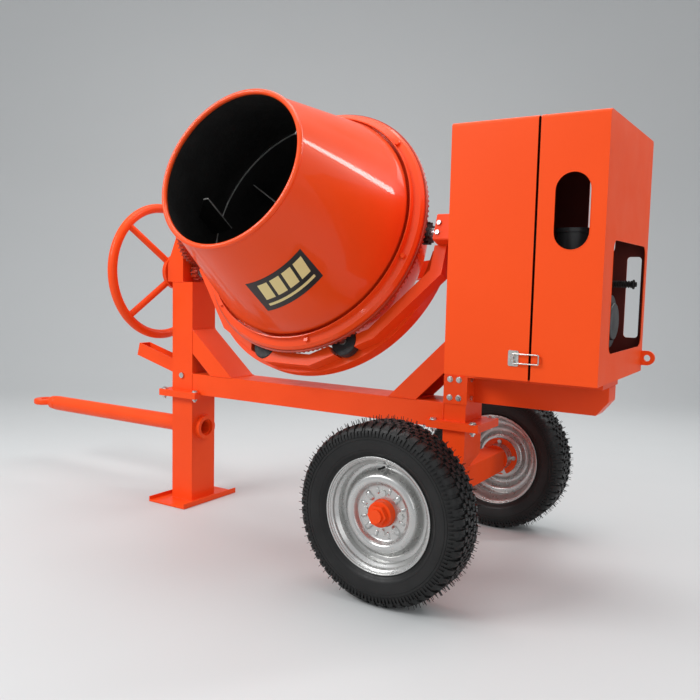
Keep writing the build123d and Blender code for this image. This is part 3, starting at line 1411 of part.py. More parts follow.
# ---------------------------------------------------------------- wheels
bead_half = rim_width / 2
tread_half = tyre_width / 2
disc_face = 20                # outer face of the rim's middle, from the tyre's middle plane
disc_ring = 43.5              # the rim's stepped ring stands this far out
disc_wall = 4
rim_wall = 5
rim_lip = 10
hub_bore = stub_radius + fit
hub_spigot = 45
hub_flange = 80
lug_circle = 65
lug_radius = 6
hub_in = track / 2 - hub_inner_y
hub_out = hub_outer_y - track / 2
for side, word in ((-1, "left"), (1, "right")):
    middle = side * track / 2
    # local x is the wheel's radius and local y points away from the machine
    wheel_profile = Plane(origin=(axle_x, middle, wheel_radius), x_dir=(1, 0, 0), z_dir=(0, 0, side))
    wheel_axis = Axis((axle_x, middle, wheel_radius), (0, 1, 0))
    with BuildPart() as tyre:
        with BuildSketch(wheel_profile):
            half_outline = [
                (rim_radius, bead_half),
                (rim_radius + rim_lip + 2, bead_half),
                (rim_radius + 24, tread_half - 6),
                (rim_radius + 52, tread_half),
                (rim_radius + 84, tread_half),
                (wheel_radius - 9, tread_half - 11),
                (wheel_radius, tread_half - 24),
            ]
            Polygon(*(half_outline + [(r, -w) for r, w in reversed(half_outline)]), align=None)
            half_hollow = [
                (rim_radius, bead_half - 14),
                (rim_radius + 50, tread_half - 15),
                (rim_radius + 80, tread_half - 15),
                (wheel_radius - 18, tread_half - 30),
            ]
            Polygon(
                *(half_hollow + [(r, -w) for r, w in reversed(half_hollow)]),
                align=None,
                mode=Mode.SUBTRACT,
            )
        revolve(axis=wheel_axis)
    tyre.part.label = word + "_tyre"
    export_step(tyre.part, "parts/" + word + "_tyre.step")

    with BuildPart() as rim:
        with BuildSketch(wheel_profile):
            Polygon(
                (rim_radius - rim_wall, -bead_half - disc_wall),
                (rim_radius + rim_lip, -bead_half - disc_wall),
                (rim_radius + rim_lip, -bead_half),
                (rim_radius, -bead_half),
                (rim_radius, bead_half),
                (rim_radius + rim_lip, bead_half),
                (rim_radius + rim_lip, bead_half + disc_wall),
                (rim_radius - rim_wall, bead_half + disc_wall),
                align=None,
            )
            Polygon(
                (rim_radius - rim_wall + 1, disc_face),
                (120, disc_ring),
                (98, disc_ring),
                (86, disc_face),
                (hub_spigot, disc_face),
                (hub_spigot, disc_face - disc_wall),
                (89, disc_face - disc_wall),
                (101, disc_ring - disc_wall),
                (119, disc_ring - disc_wall),
                (rim_radius - rim_wall + 1, disc_face - disc_wall),
                align=None,
            )
        revolve(axis=wheel_axis)
        with BuildSketch(front(middle)):
            with Locations((axle_x, wheel_radius)):
                with PolarLocations(lug_circle, 4):
                    Circle(lug_radius)
        extrude(amount=-side * bead_half, mode=Mode.SUBTRACT)
    rim.part.label = word + "_rim"
    export_step(rim.part, "parts/" + word + "_rim.step")

    with BuildPart() as hub:
        with BuildSketch(wheel_profile):
            Polygon(
                (hub_bore, -hub_in),
                (57, -hub_in),
                (57, disc_face - disc_wall - 9),
                (hub_flange, disc_face - disc_wall - 9),
                (hub_flange, disc_face - disc_wall),
                (hub_spigot, disc_face - disc_wall),
                (hub_spigot, disc_face),
                (42, disc_face + 6),
                (42, hub_out),
                (hub_bore, hub_out),
                align=None,
            )
        revolve(axis=wheel_axis)
        for start, size, length in (
            (disc_face - disc_wall - 1, lug_radius, disc_wall + 7),
            (disc_face, lug_radius + 5, 6),
            (disc_face - disc_wall - 9 - 7, lug_radius + 4, 8),
        ):
            with BuildSketch(front(middle + side * start)):
                with Locations((axle_x, wheel_radius)):
                    with PolarLocations(lug_circle, 4):
                        if size == lug_radius:
                            Circle(size)
                        else:
                            RegularPolygon(size, 6)
            extrude(amount=-side * length)
    hub.part.label = word + "_hub"
    export_step(hub.part, "parts/" + word + "_hub.step")
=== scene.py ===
# %% [markdown]
# # A towable concrete mixer
# The solid model comes in first as a fixed frame of named pieces in metres. This lesson then
# gives every piece rounded edges, smooth round surfaces and a finish of its own, and adds the
# small things that a workshop adds: weld beads, tyre treads, washers, folded sheet edges and a
# decal.

# %% Load the frame
import bpy
import bmesh
import json
import math
from mathutils import Matrix, Vector


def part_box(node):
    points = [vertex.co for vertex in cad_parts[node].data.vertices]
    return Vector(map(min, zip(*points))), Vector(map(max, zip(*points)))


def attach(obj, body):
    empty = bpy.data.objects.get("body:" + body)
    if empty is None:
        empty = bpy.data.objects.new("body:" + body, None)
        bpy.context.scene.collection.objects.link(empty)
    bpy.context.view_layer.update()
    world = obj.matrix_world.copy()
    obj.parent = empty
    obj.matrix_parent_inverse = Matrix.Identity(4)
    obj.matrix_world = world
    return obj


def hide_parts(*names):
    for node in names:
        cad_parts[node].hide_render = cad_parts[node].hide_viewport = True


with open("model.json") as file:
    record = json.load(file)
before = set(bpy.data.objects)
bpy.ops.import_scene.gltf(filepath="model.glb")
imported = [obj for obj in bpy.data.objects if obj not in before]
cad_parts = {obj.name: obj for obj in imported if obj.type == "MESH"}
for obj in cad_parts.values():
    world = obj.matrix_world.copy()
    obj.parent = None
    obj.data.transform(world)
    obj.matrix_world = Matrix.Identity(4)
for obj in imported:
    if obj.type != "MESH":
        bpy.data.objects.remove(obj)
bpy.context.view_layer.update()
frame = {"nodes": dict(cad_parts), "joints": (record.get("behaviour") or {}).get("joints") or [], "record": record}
nodes = frame["nodes"]
joints = {j["name"]: j for j in frame["joints"]}
slot_of = {s["node"]: s["material_slot"] for s in frame["record"]["subparts"]}
body_of = {n: b for b, ns in frame["record"]["behaviour"]["bodies"].items() for n in ns}
mm = 0.001

# %% [markdown]
# ## Places
# Three frames are used again and again: the drum's, whose Z runs out of its mouth, and one for each
# road wheel, whose Z points away from the machine. Their places could be typed in as numbers, but
# then a change of the solid model would leave every added piece behind. They are read from the
# joints instead, so that every piece lands where the solid model says.

# %% Frames of the drum and the wheels
def frame_matrix(origin, x_dir, z_dir):
    z_dir = Vector(z_dir).normalized()
    x_dir = Vector(x_dir).normalized()
    y_dir = z_dir.cross(x_dir)
    matrix = Matrix((x_dir, y_dir, z_dir)).transposed().to_4x4()
    matrix.translation = Vector(origin)
    return matrix


spin = joints["drum_spin"]
drum_frame = frame_matrix(spin["pos_m"], (1, 0, 0), spin["axis"])
wheel_frames = {}
for word, side in (("left", -1), ("right", 1)):
    hub_centre = joints[word + "_wheel_spin"]["pos_m"]
    wheel_frames[word] = frame_matrix(hub_centre, (1, 0, 0), (0, side, 0))
print("drum frame at", drum_frame.translation[:])

# %% [markdown]
# ## Finishes
# Paint, castings and rubber are never one even colour. Image maps could show that, but noise
# needs no file, never repeats, and stays sharp however near the camera comes. So each finish is a
# small graph of procedural nodes: noise in object coordinates varies the colour and the gloss,
# and a finer noise drives a faint bump, such as orange peel in paint and grain in castings.

# %% A helper that wires noise into a finish
def finish(name, base, other=None, metal=0.0, rough=(0.3, 0.45), bump=0.05, grain=60.0,
           cloud=4.0, coat=0.0, coat_rough=0.1, dirt=None, dirt_level=0.62, mirror=0.5):
    """A finish whose colour, gloss and bump come from noise; dirt adds a third colour."""
    material = bpy.data.materials.new(name)
    material.use_nodes = True
    tree = material.node_tree
    shader = tree.nodes["Principled BSDF"]
    link = tree.links.new
    shader.inputs["Metallic"].default_value = metal
    shader.inputs["Coat Weight"].default_value = coat
    shader.inputs["Specular IOR Level"].default_value = mirror
    shader.inputs["Coat Roughness"].default_value = coat_rough
    place = tree.nodes.new("ShaderNodeTexCoord")

    def noise(scale, detail):
        node = tree.nodes.new("ShaderNodeTexNoise")
        node.inputs["Scale"].default_value = scale
        node.inputs["Detail"].default_value = detail
        link(place.outputs["Object"], node.inputs["Vector"])
        return node

    clouds = noise(cloud, 6.0)
    tones = tree.nodes.new("ShaderNodeValToRGB")
    tones.color_ramp.elements[0].position = 0.35
    tones.color_ramp.elements[1].position = 0.68
    tones.color_ramp.elements[0].color = (*(other or [c * 0.86 for c in base]), 1)
    tones.color_ramp.elements[1].color = (*base, 1)
    link(clouds.outputs["Fac"], tones.inputs["Fac"])
    colour = tones.outputs["Color"]
    smudge = noise(cloud * 4.5, 8.0)
    if dirt:
        patches = tree.nodes.new("ShaderNodeValToRGB")
        patches.color_ramp.elements[0].position = dirt_level
        patches.color_ramp.elements[1].position = dirt_level + 0.16
        link(smudge.outputs["Fac"], patches.inputs["Fac"])
        mix = tree.nodes.new("ShaderNodeMix")
        mix.data_type = "RGBA"
        link(patches.outputs["Color"], mix.inputs["Factor"])
        link(colour, mix.inputs["A"])
        mix.inputs["B"].default_value = (*dirt, 1)
        colour = mix.outputs["Result"]
    link(colour, shader.inputs["Base Color"])
    gloss = tree.nodes.new("ShaderNodeMapRange")
    gloss.inputs["From Min"].default_value = 0.3
    gloss.inputs["From Max"].default_value = 0.7
    gloss.inputs["To Min"].default_value = rough[0]
    gloss.inputs["To Max"].default_value = rough[1]
    link(smudge.outputs["Fac"], gloss.inputs["Value"])
    link(gloss.outputs["Result"], shader.inputs["Roughness"])
    fine = noise(grain, 4.0)
    height = tree.nodes.new("ShaderNodeBump")
    height.inputs["Strength"].default_value = bump
    height.inputs["Distance"].default_value = 0.002
    link(fine.outputs["Fac"], height.inputs["Height"])
    link(height.outputs["Normal"], shader.inputs["Normal"])
    return material


# %% The finishes themselves
orange = (0.90, 0.080, 0.011)
deep_orange = (0.84, 0.069, 0.009)
# Dark red for the painted shade inside the cabinet
painted_shade_red = (0.16, 0.014, 0.006)
finishes = {
    "frame_paint": finish("frame_paint", orange, deep_orange, rough=(0.34, 0.46), bump=0.05,
                          coat=0.08, coat_rough=0.14, mirror=0.14),
    "drum_paint": finish("drum_paint", orange, (0.86, 0.074, 0.010), rough=(0.28, 0.36), bump=0.02,
                         cloud=2.0, coat=0.38, coat_rough=0.06, mirror=0.14),
    "cabinet_paint": finish("cabinet_paint", (0.92, 0.086, 0.012), (0.88, 0.078, 0.010),
                            rough=(0.40, 0.50), bump=0.03, cloud=1.6, coat=0.04, coat_rough=0.2,
                            mirror=0.12),
    "zinc": finish("zinc", (0.74, 0.74, 0.72), (0.55, 0.55, 0.52), metal=1.0, rough=(0.22, 0.42),
                   bump=0.08, grain=300, cloud=30),
    "gear_iron": finish("gear_iron", (0.055, 0.052, 0.05), (0.03, 0.028, 0.028), metal=0.6,
                        rough=(0.35, 0.6), bump=0.3, grain=180, cloud=20, dirt=(0.10, 0.05, 0.03)),
    "shaft_steel": finish("shaft_steel", (0.60, 0.60, 0.60), (0.42, 0.42, 0.42), metal=1.0,
                          rough=(0.2, 0.38), bump=0.06, grain=400, cloud=25),
    "bearing_iron": finish("bearing_iron", (0.30, 0.29, 0.28), (0.2, 0.19, 0.19), metal=0.7,
                           rough=(0.4, 0.6), bump=0.3, grain=160, cloud=20),
    "roller_rubber": finish("roller_rubber", (0.022, 0.024, 0.024), (0.012, 0.012, 0.013),
                            rough=(0.45, 0.7), bump=0.3, grain=220, cloud=30),
    "belt_rubber": finish("belt_rubber", (0.025, 0.025, 0.025), rough=(0.6, 0.8), bump=0.3,
                          grain=300),
    "tyre": finish("tyre", (0.013, 0.013, 0.013), (0.008, 0.008, 0.008), rough=(0.38, 0.55),
                   bump=0.18, grain=260, cloud=12, dirt=(0.020, 0.020, 0.019), dirt_level=0.64,
                   mirror=0.3),
    "rim_steel": finish("rim_steel", (0.56, 0.56, 0.55), (0.50, 0.50, 0.49), metal=0.8,
                        rough=(0.24, 0.34), bump=0.012, grain=240, cloud=9),
    "engine_iron": finish("engine_iron", (0.045, 0.045, 0.05), (0.028, 0.028, 0.03), metal=0.4,
                          rough=(0.35, 0.6), bump=0.35, grain=140, cloud=16),
    "engine_fins": finish("engine_fins", (0.42, 0.42, 0.41), (0.28, 0.28, 0.27), metal=0.9,
                          rough=(0.35, 0.55), bump=0.35, grain=180, cloud=18),
    "tank_paint": finish("tank_paint", (0.03, 0.03, 0.033), rough=(0.18, 0.32), bump=0.03,
                         coat=0.7),
    "filter_black": finish("filter_black", (0.02, 0.02, 0.021), rough=(0.35, 0.5), bump=0.2,
                           grain=220),
    "muffler_black": finish("muffler_black", (0.018, 0.018, 0.018), (0.03, 0.022, 0.018),
                            metal=0.4, rough=(0.45, 0.7), bump=0.4, grain=120, cloud=25),
    "starter_black": finish("starter_black", (0.03, 0.03, 0.031), rough=(0.32, 0.5), bump=0.2,
                            grain=200),
}
# Painted shade: a near-black finish for the drum's inside and its blades, with lighter patches
drum_inside_shade = finish("drum_painted_shade", (0.030, 0.030, 0.029), (0.020, 0.020, 0.020), rough=(0.5, 0.7),
                bump=0.5, grain=90, cloud=7, dirt=(0.045, 0.044, 0.042), dirt_level=0.66)
# Worn bare steel that is also a painted highlight: pale bars along the blades' edges and the ledge
worn_and_highlight_edge = finish("worn_edge_highlight", (0.80, 0.80, 0.77), (0.5, 0.5, 0.48), rough=(0.25, 0.4),
                   bump=0.1, grain=200, cloud=25)
# Painted shade: dark red on the cabinet's inner faces, where the closed box is dark
hood_painted_shade = finish("hood_painted_shade", painted_shade_red, (0.11, 0.010, 0.005), rough=(0.55, 0.7), bump=0.1)
# The gears wear the frame's orange; this darker copy is painted shade for the gears behind the flange and beside
# the post
shaded_gear_paint = finish("shaded_gear_paint", (0.50, 0.045, 0.010), (0.34, 0.028, 0.008), rough=(0.4, 0.55),
                    bump=0.1, cloud=12)
extra_finishes = (drum_inside_shade, worn_and_highlight_edge, hood_painted_shade, shaded_gear_paint)
print(len(finishes) + len(extra_finishes), "finishes")

# %% [markdown]
# ## Rounded edges on the solid model's pieces
# Real tube corners and sheet edges are never razor sharp, and a round edge catches the light. The
# solid model could carry every round, but that makes it heavy, and a Bevel modifier takes a width
# for each piece. So each piece is copied, its loose triangles are welded together, flat areas are
# joined, and the modifier rounds what is sharp. Round and toothed pieces only get smooth shading.

# %% Helpers for meshes
def add_object(name, data):
    """A new object in the scene, holding a mesh, a curve, a lamp or a camera."""
    piece = bpy.data.objects.new(name, data)
    bpy.context.scene.collection.objects.link(piece)
    return piece


def applied(piece):
    """The piece's mesh with its modifiers worked in."""
    bpy.context.view_layer.update()
    graph = bpy.context.evaluated_depsgraph_get()
    mesh = bpy.data.meshes.new_from_object(piece.evaluated_get(graph))
    piece.modifiers.clear()
    piece.data = mesh
    return piece


def shade(mesh, angle):
    """Smooth faces, with edges sharper than the angle kept crisp."""
    bm = bmesh.new()
    bm.from_mesh(mesh)
    for face in bm.faces:
        face.smooth = True
    for edge in bm.edges:
        edge.smooth = edge.calc_face_angle(3.2) < math.radians(angle)
    bm.to_mesh(mesh)
    bm.free()


def settle(piece, body, replaced=(), materials=None):
    """The closing steps of every piece: finish, body and the CAD nodes that it stands for."""
    if materials:
        piece.data.materials.clear()
        for material in materials:
            piece.data.materials.append(material)
    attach(piece, body)
    if replaced:
        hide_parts(*replaced)
    return piece


def softened(node, width, angle=35.0, smooth=40.0, inside=None):
    """A copy of a CAD node with rounded edges; inside is a test of a face and its second finish."""
    mesh = nodes[node].data.copy()
    stored = mesh.attributes.get("custom_normal")
    if stored:
        mesh.attributes.remove(stored)
    bm = bmesh.new()
    bm.from_mesh(mesh)
    bmesh.ops.remove_doubles(bm, verts=bm.verts, dist=2e-6)
    if width:
        bmesh.ops.dissolve_limit(bm, angle_limit=math.radians(0.4), verts=bm.verts, edges=bm.edges)
    bm.to_mesh(mesh)
    bm.free()
    piece = add_object(node + "_finished", mesh)
    if width:
        round_edges = piece.modifiers.new("round_edges", "BEVEL")
        round_edges.width = width
        round_edges.segments = 2
        round_edges.limit_method = "ANGLE"
        round_edges.angle_limit = math.radians(angle)
        round_edges.use_clamp_overlap = True
        applied(piece)
    shade(piece.data, smooth)
    if width:
        even = piece.modifiers.new("even_normals", "WEIGHTED_NORMAL")
        even.keep_sharp = True
        applied(piece)
    materials = [finishes[slot_of[node]]]
    if inside:
        materials.append(inside[1])
    settle(piece, body_of[node], [node], materials)
    for face in piece.data.polygons:
        face.material_index = 1 if inside and inside[0](face.center, face.normal) else 0
    return piece


# %% Rounded copies of tubes, plates and sheet metal
edge_width = {
    "foot_plate": 1.5, "lower_leg": 3, "upright": 3, "main_beam": 3, "beam_braces": 3,
    "right_post": 3, "splice_plate": 1.2, "lower_post": 3, "axle_beam": 4, "tail_beam": 3,
    "engine_bed": 2, "bearing_bracket": 3, "yoke_cradle": 2.5, "yoke_back_bar": 3,
    "trunnion_blocks": 2, "tilt_pedal": 1.4,
    "hood_hinge": 0.5, "latch_catch": 0.5, "roller_pins": 0.8,
    "engine_block": 3, "engine_cylinder": 0.8, "fuel_tank": 2,
    "air_filter": 2, "muffler": 0.8, "recoil_starter": 1, "drive_belt": 0.8, "tow_sleeve": 1,
    "tow_bar": 1, "frame_bearings": 1, "trunnion_pins": 0.6, "handwheel_shaft": 0.8,
    "drum_bearing": 2, "engine_pulley": 0.5, "drive_pulley": 0.8,
}
for node, width in edge_width.items():
    softened(node, width * mm)
smooth_only = ("handwheel", "tow_eye", "tilt_gear", "tilt_pinion", "drive_pinion", "drive_shaft",
               "stub_axles", "left_roller", "right_roller", "latch_bail", "drum_axle")
for node in smooth_only:
    softened(node, 0)
# The tilt gears take the darker orange: painted shade
for node in ("tilt_gear_finished", "tilt_pinion_finished"):
    bpy.data.objects[node].data.materials[0] = shaded_gear_paint
print(len(edge_width) + len(smooth_only), "pieces rounded or smoothed")

# %% [markdown]
# ## Sheet metal with two sides
# The cabinet is folded sheet, sprayed outside; inside, a dull dark red is painted shade, as the closed
# box is dark within. Two shells, one for each side, would flicker where they touch. One shell carries
# both finishes, and a test on each face picks one.

# %% The cabinet's halves are orange outside, with dark red painted shade inside
skin_depth = 2.1 * mm          # just past the thickness of the sheet
cabinet_half_y, cabinet_low_z, cabinet_top_z = 0.3, 0.738, 1.557
half_spans = {"drive_case": (1.428, 1.717), "engine_hood": (1.725, 1.933)}


def looks_into_cabinet(near_x, far_x):
    """A test for faces on the inner skin of the sheet box between these two x."""
    low = Vector((near_x, -cabinet_half_y, cabinet_low_z))
    high = Vector((far_x, cabinet_half_y, cabinet_top_z))
    middle = (low + high) / 2
    inset = Vector((skin_depth, skin_depth, skin_depth))
    inner_low, inner_high = low + inset, high - inset

    def test(centre, normal):
        inside = all(inner_low[i] < centre[i] < inner_high[i] for i in range(3))
        return inside and normal.dot(middle - centre) > 0.0
    return test


# Inner faces of the cabinet halves take the dark red painted shade
for node, span in half_spans.items():
    softened(node, 0.9 * mm, inside=(looks_into_cabinet(*span), hood_painted_shade))

# %% [markdown]
# ## Paint over hardware
# The axles are sprayed together with the frame, so their nuts and hub caps are orange while the
# other bolts stay bright. The painted parts could be pieces of their own, but they share a solid
# with the bright ones, so a test on each face picks the finish here too.

# %% The axle ends and their nuts are sprayed with the frame
axle_ends = bpy.data.objects["stub_axles_finished"]
axle_ends.data.materials[0] = finishes["frame_paint"]
beyond_wheels_y = 0.5


def is_axle_nut(centre, normal):
    return abs(centre.y) > beyond_wheels_y


softened("frame_bolts", 0.8 * mm, inside=(is_axle_nut, finishes["frame_paint"]))

# %% Painted hub caps carry bright bolts
cap_radius = 45.5 * mm


def is_hub_cap(centre, normal):
    """The cap and spigot lie within this radius of the axle; the bolts stand further out."""
    place = wheel_frames["left" if centre.y < 0 else "right"].inverted() @ centre
    return math.hypot(place.x, place.y) < cap_radius


for node in ("left_hub", "right_hub"):
    softened(node, 1 * mm, inside=(is_hub_cap, finishes["frame_paint"]))

# %% [markdown]
# ## The drum
# Outside, the cone and bowl are glossy paint. Inside, a nearly black finish is painted shade, for
# the inside lies in shadow. A shell of its own would cut through the blades' feet, so the same shell
# carries both finishes: a face that looks back at the drum's axis, or up from its floor, takes the painted shade.

# %% Faces that look at the drum's axis take the painted shade
cone_foot_radius, cone_foot_height = 460, 120      # the cone, in millimetres in the drum's frame
cone_rise, cone_narrowing = 463, 160
inner_radius = (cone_foot_radius - 2.5) * mm
below_mouth = 0.575
ledge_low, ledge_top = 0.1, 0.121
floor_top = -0.1
facing_axis, facing_mouth = -0.25, 0.6             # how squarely a face has to look there
to_drum = drum_frame.inverted()
to_drum_turn = to_drum.to_3x3()


def looks_inward(centre, normal):
    """Tells whether a face of the cone or bowl belongs to the drum's inside."""
    place = to_drum @ centre
    way = to_drum_turn @ normal
    outward = Vector((place.x, place.y, 0))
    inside_wall = outward.length < inner_radius
    within = inside_wall or place.z >= cone_foot_height * mm
    wall = outward.normalized().dot(way) < facing_axis
    floor_face = way.z > facing_mouth and place.z < floor_top
    ledge_face = ledge_low < place.z < ledge_top and inside_wall
    return place.z < below_mouth and within and (wall or floor_face or ledge_face)


# Inner faces of the cone and bowl take the near-black painted shade
for node in ("drum_cone", "drum_bowl"):
    softened(node, 0, inside=(looks_inward, drum_inside_shade))
softened("drum_flange", 0, smooth=35)
# The ring gear behind the flange takes the darker orange: painted shade
softened("ring_gear", 0, smooth=30).data.materials[0] = shaded_gear_paint
softened("flange_bolts", 0.8 * mm).data.materials[0] = finishes["drum_paint"]
# The blades inside the drum are near black: painted shade
softened("mixing_blades", 0).data.materials[0] = drum_inside_shade
print("drum dressed")

# %% [markdown]
# ## A turntable made with Geometry Nodes
# Tread blocks, sidewall ribs, whiskers and bolt collars all repeat round an axis. Array modifiers
# could set them out, but each needs an object to turn about. One node tree serves them all: it
# makes as many copies of a shape as it is told, turns each a step further about Z, and joins them.

# %% The turntable tree
def socket_names(tree):
    """The identifier of each input, under the name that it shows."""
    sockets = [item for item in tree.interface.items_tree if item.item_type == "SOCKET"]
    return {item.name: item.identifier for item in sockets}


def new_tree(name, inputs):
    tree = bpy.data.node_groups.new(name, "GeometryNodeTree")
    for label, kind, value in inputs:
        socket = tree.interface.new_socket(label, in_out="INPUT", socket_type=kind)
        if value is not None:
            socket.default_value = value
    tree.interface.new_socket("Geometry", in_out="OUTPUT", socket_type="NodeSocketGeometry")
    return tree, tree.nodes.new("NodeGroupInput").outputs, tree.nodes.new("NodeGroupOutput").inputs


def math_node(tree, operation, a, b):
    node = tree.nodes.new("ShaderNodeMath")
    node.operation = operation
    for socket, value in zip(node.inputs, (a, b)):
        if isinstance(value, (int, float)):
            socket.default_value = value
        else:
            tree.links.new(value, socket)
    return node.outputs[0]


turntable, given, result = new_tree("turntable", [
    ("Shape", "NodeSocketObject", None), ("Count", "NodeSocketInt", 12),
    ("Step", "NodeSocketFloat", 0.5), ("Start", "NodeSocketFloat", 0.0),
    ("Wander", "NodeSocketFloat", 0.0), ("Seed", "NodeSocketInt", 1),
    ("Finish", "NodeSocketMaterial", None)])
link = turntable.links.new
points = turntable.nodes.new("GeometryNodeMeshLine")
points.inputs["Offset"].default_value = (0, 0, 0)
link(given["Count"], points.inputs["Count"])
index = turntable.nodes.new("GeometryNodeInputIndex")
wander = turntable.nodes.new("FunctionNodeRandomValue")
link(math_node(turntable, "MULTIPLY", given["Wander"], -1.0), wander.inputs[2])
link(given["Wander"], wander.inputs[3])
link(given["Seed"], wander.inputs["Seed"])
turned = math_node(turntable, "MULTIPLY", index.outputs[0], given["Step"])
turned = math_node(turntable, "ADD", turned, given["Start"])
turned = math_node(turntable, "ADD", turned, wander.outputs[1])
about_z = turntable.nodes.new("ShaderNodeCombineXYZ")
link(turned, about_z.inputs["Z"])
shape_in = turntable.nodes.new("GeometryNodeObjectInfo")
link(given["Shape"], shape_in.inputs["Object"])
copies = turntable.nodes.new("GeometryNodeInstanceOnPoints")
link(points.outputs[0], copies.inputs["Points"])
link(shape_in.outputs["Geometry"], copies.inputs["Instance"])
link(about_z.outputs[0], copies.inputs["Rotation"])
real = turntable.nodes.new("GeometryNodeRealizeInstances")
link(copies.outputs[0], real.inputs[0])
painted = turntable.nodes.new("GeometryNodeSetMaterial")
link(real.outputs[0], painted.inputs["Geometry"])
link(given["Finish"], painted.inputs["Material"])
link(painted.outputs[0], result["Geometry"])
print("turntable tree has", len(turntable.nodes), "nodes")


# %% Running a tree and keeping only its mesh
def run_tree(tree, values):
    """Evaluates the tree with these named values and returns the plain mesh it makes."""
    holder = add_object("holder", bpy.data.meshes.new("holder"))
    modifier = holder.modifiers.new("repeat", "NODES")
    modifier.node_group = tree
    names = socket_names(tree)
    for label, value in values.items():
        modifier[names[label]] = value
    bpy.context.view_layer.update()
    graph = bpy.context.evaluated_depsgraph_get()
    mesh = bpy.data.meshes.new_from_object(holder.evaluated_get(graph))
    bpy.data.objects.remove(holder)
    return mesh


def mesh_from(verts, faces, name="shape"):
    mesh = bpy.data.meshes.new(name)
    mesh.from_pydata([tuple(v) for v in verts], [], faces)
    bm = bmesh.new()
    bm.from_mesh(mesh)
    bmesh.ops.remove_doubles(bm, verts=bm.verts, dist=1e-7)
    bmesh.ops.recalc_face_normals(bm, faces=bm.faces)
    bm.to_mesh(mesh)
    bm.free()
    return mesh


def ring_of(mesh, count, place, material, start=0.0, step=None, wander=0.0, seed=1):
    """count copies of a mesh turned about Z, put in place and given its material."""
    shape = add_object("shape", mesh)
    step = 2 * math.pi / count if step is None else step
    made = run_tree(turntable, {"Shape": shape, "Count": count, "Step": step, "Start": start,
                                "Wander": wander, "Seed": seed, "Finish": material})
    bpy.data.objects.remove(shape)
    made.transform(place)
    return made


def joined(name, meshes, material, smooth=35.0):
    """One object from several meshes, all in the same finish."""
    bm = bmesh.new()
    for mesh in meshes:
        bm.from_mesh(mesh)
    whole = bpy.data.meshes.new(name)
    bm.to_mesh(whole)
    bm.free()
    whole.materials.clear()
    whole.materials.append(material)
    for face in whole.polygons:
        face.material_index = 0
    shade(whole, smooth)
    return add_object(name, whole)


# %% [markdown]
# ## Turned shapes
# A tyre or a rim is a closed outline spun about an axis. A Screw modifier could spin it, but a few
# lines of code give the mesh at once, already in its place. The outline's corners are rounded
# first, so that steps in the pressed steel and the tyre's shoulders are soft.

# %% Lathe and rounded outlines
def rounded(outline, radius, parts=4):
    """The closed outline with each corner replaced by a small curve."""
    out = []
    count = len(outline)
    for i, (x, y) in enumerate(outline):
        before = Vector(outline[i - 1]) - Vector((x, y))
        after = Vector(outline[(i + 1) % count]) - Vector((x, y))
        cut = min(radius, before.length * 0.45, after.length * 0.45)
        a = Vector((x, y)) + before.normalized() * cut
        b = Vector((x, y)) + after.normalized() * cut
        for k in range(parts + 1):
            t = k / parts
            out.append(a * (1 - t) ** 2 + Vector((x, y)) * 2 * t * (1 - t) + b * t * t)
    return out


def lathe(outline, steps, place):
    """Spins a closed outline of (radius, height) in millimetres about Z."""
    verts, faces = [], []
    count = len(outline)
    for i in range(steps):
        turn = 2 * math.pi * i / steps
        for r, h in outline:
            verts.append((r * mm * math.cos(turn), r * mm * math.sin(turn), h * mm))
    for i in range(steps):
        for k in range(count):
            a, b = i * count + k, i * count + (k + 1) % count
            c, d = ((i + 1) % steps) * count + (k + 1) % count, ((i + 1) % steps) * count + k
            faces.append((a, b, c, d))
    mesh = mesh_from(verts, faces)
    mesh.transform(place)
    return mesh


def rib(outline, half_width, lean=0.0):
    """A small block: an outline of (radius, height) given thickness across; lean slants it."""
    count = len(outline)
    verts = []
    for side in (-1, 1):
        for r, h in outline:
            verts.append((r * mm, (side * half_width + lean * h) * mm, h * mm))
    faces = [tuple(range(count)), tuple(range(count, 2 * count))]
    for k in range(count):
        n = (k + 1) % count
        faces.append((k, n, count + n, count + k))
    return mesh_from(verts, faces)


# %% [markdown]
# ## Worn and highlighted edges inside the drum
# Gravel keeps the free edges of the blades and the ledge inside the cone bright, and their pale colour
# is also a painted highlight where they catch the light. A colour mask could paint them, but the edges
# are only as thick as the plate. Thin worn bars along them stay crisp.

# %% Worn bars with a painted highlight on the blades, and a bright ledge ring
bar_half_width, bar_sides = 2.6, 8
blades = 3
blade_edges = {149: ((440, 40), (230, 60), (120, -60), (190, -170)),
               185: ((448, 122), (336, 151), (248, 405), (271, 405))}


def bar_between(start, end, half):
    """A slim eight-sided bar from one point to another, in metres."""
    way = end - start
    turn = way.to_track_quat("Z", "Y").to_matrix().to_4x4()
    length = way.length * 1000
    outline = [(0, 0), (half, 0), (half * 1.25, length / 2), (half, length), (0, length)]
    return lathe(outline, bar_sides, Matrix.Translation(start) @ turn)


def drum_point(radius, height, degrees):
    """A point in the drum's frame, from millimetres and an angle."""
    turn = math.radians(degrees)
    x, y = radius * mm * math.cos(turn), radius * mm * math.sin(turn)
    return drum_frame @ Vector((x, y, height * mm))


bars = []
for first, path in blade_edges.items():
    for blade in range(blades):
        spots = [drum_point(r, h, first + 360 / blades * blade) for r, h in path]
        bars += [bar_between(p, q, bar_half_width) for p, q in zip(spots, spots[1:])]
ledge = [(443.2, 107.4), (447, 107.6), (447, 112.6), (443.2, 112.4)]
bars.append(lathe(rounded(ledge, 1, 2), 120, drum_frame))
# The bars carry worn steel and a painted highlight
settle(joined("worn_edges", bars, worn_and_highlight_edge, 50), "drum")
print(len(bars), "worn edges")

# %% [markdown]
# ## Road wheels
# The tyre is a spun carcass with blocks on its shoulders and crown, short radial ribs on its
# sidewall and fine raised rings. New tyres still wear the thin rubber whiskers that the mould's
# vents leave. A bump texture would leave the outline smooth, so all of these are real shapes, and
# the turntable sets them out because they repeat round the wheel.

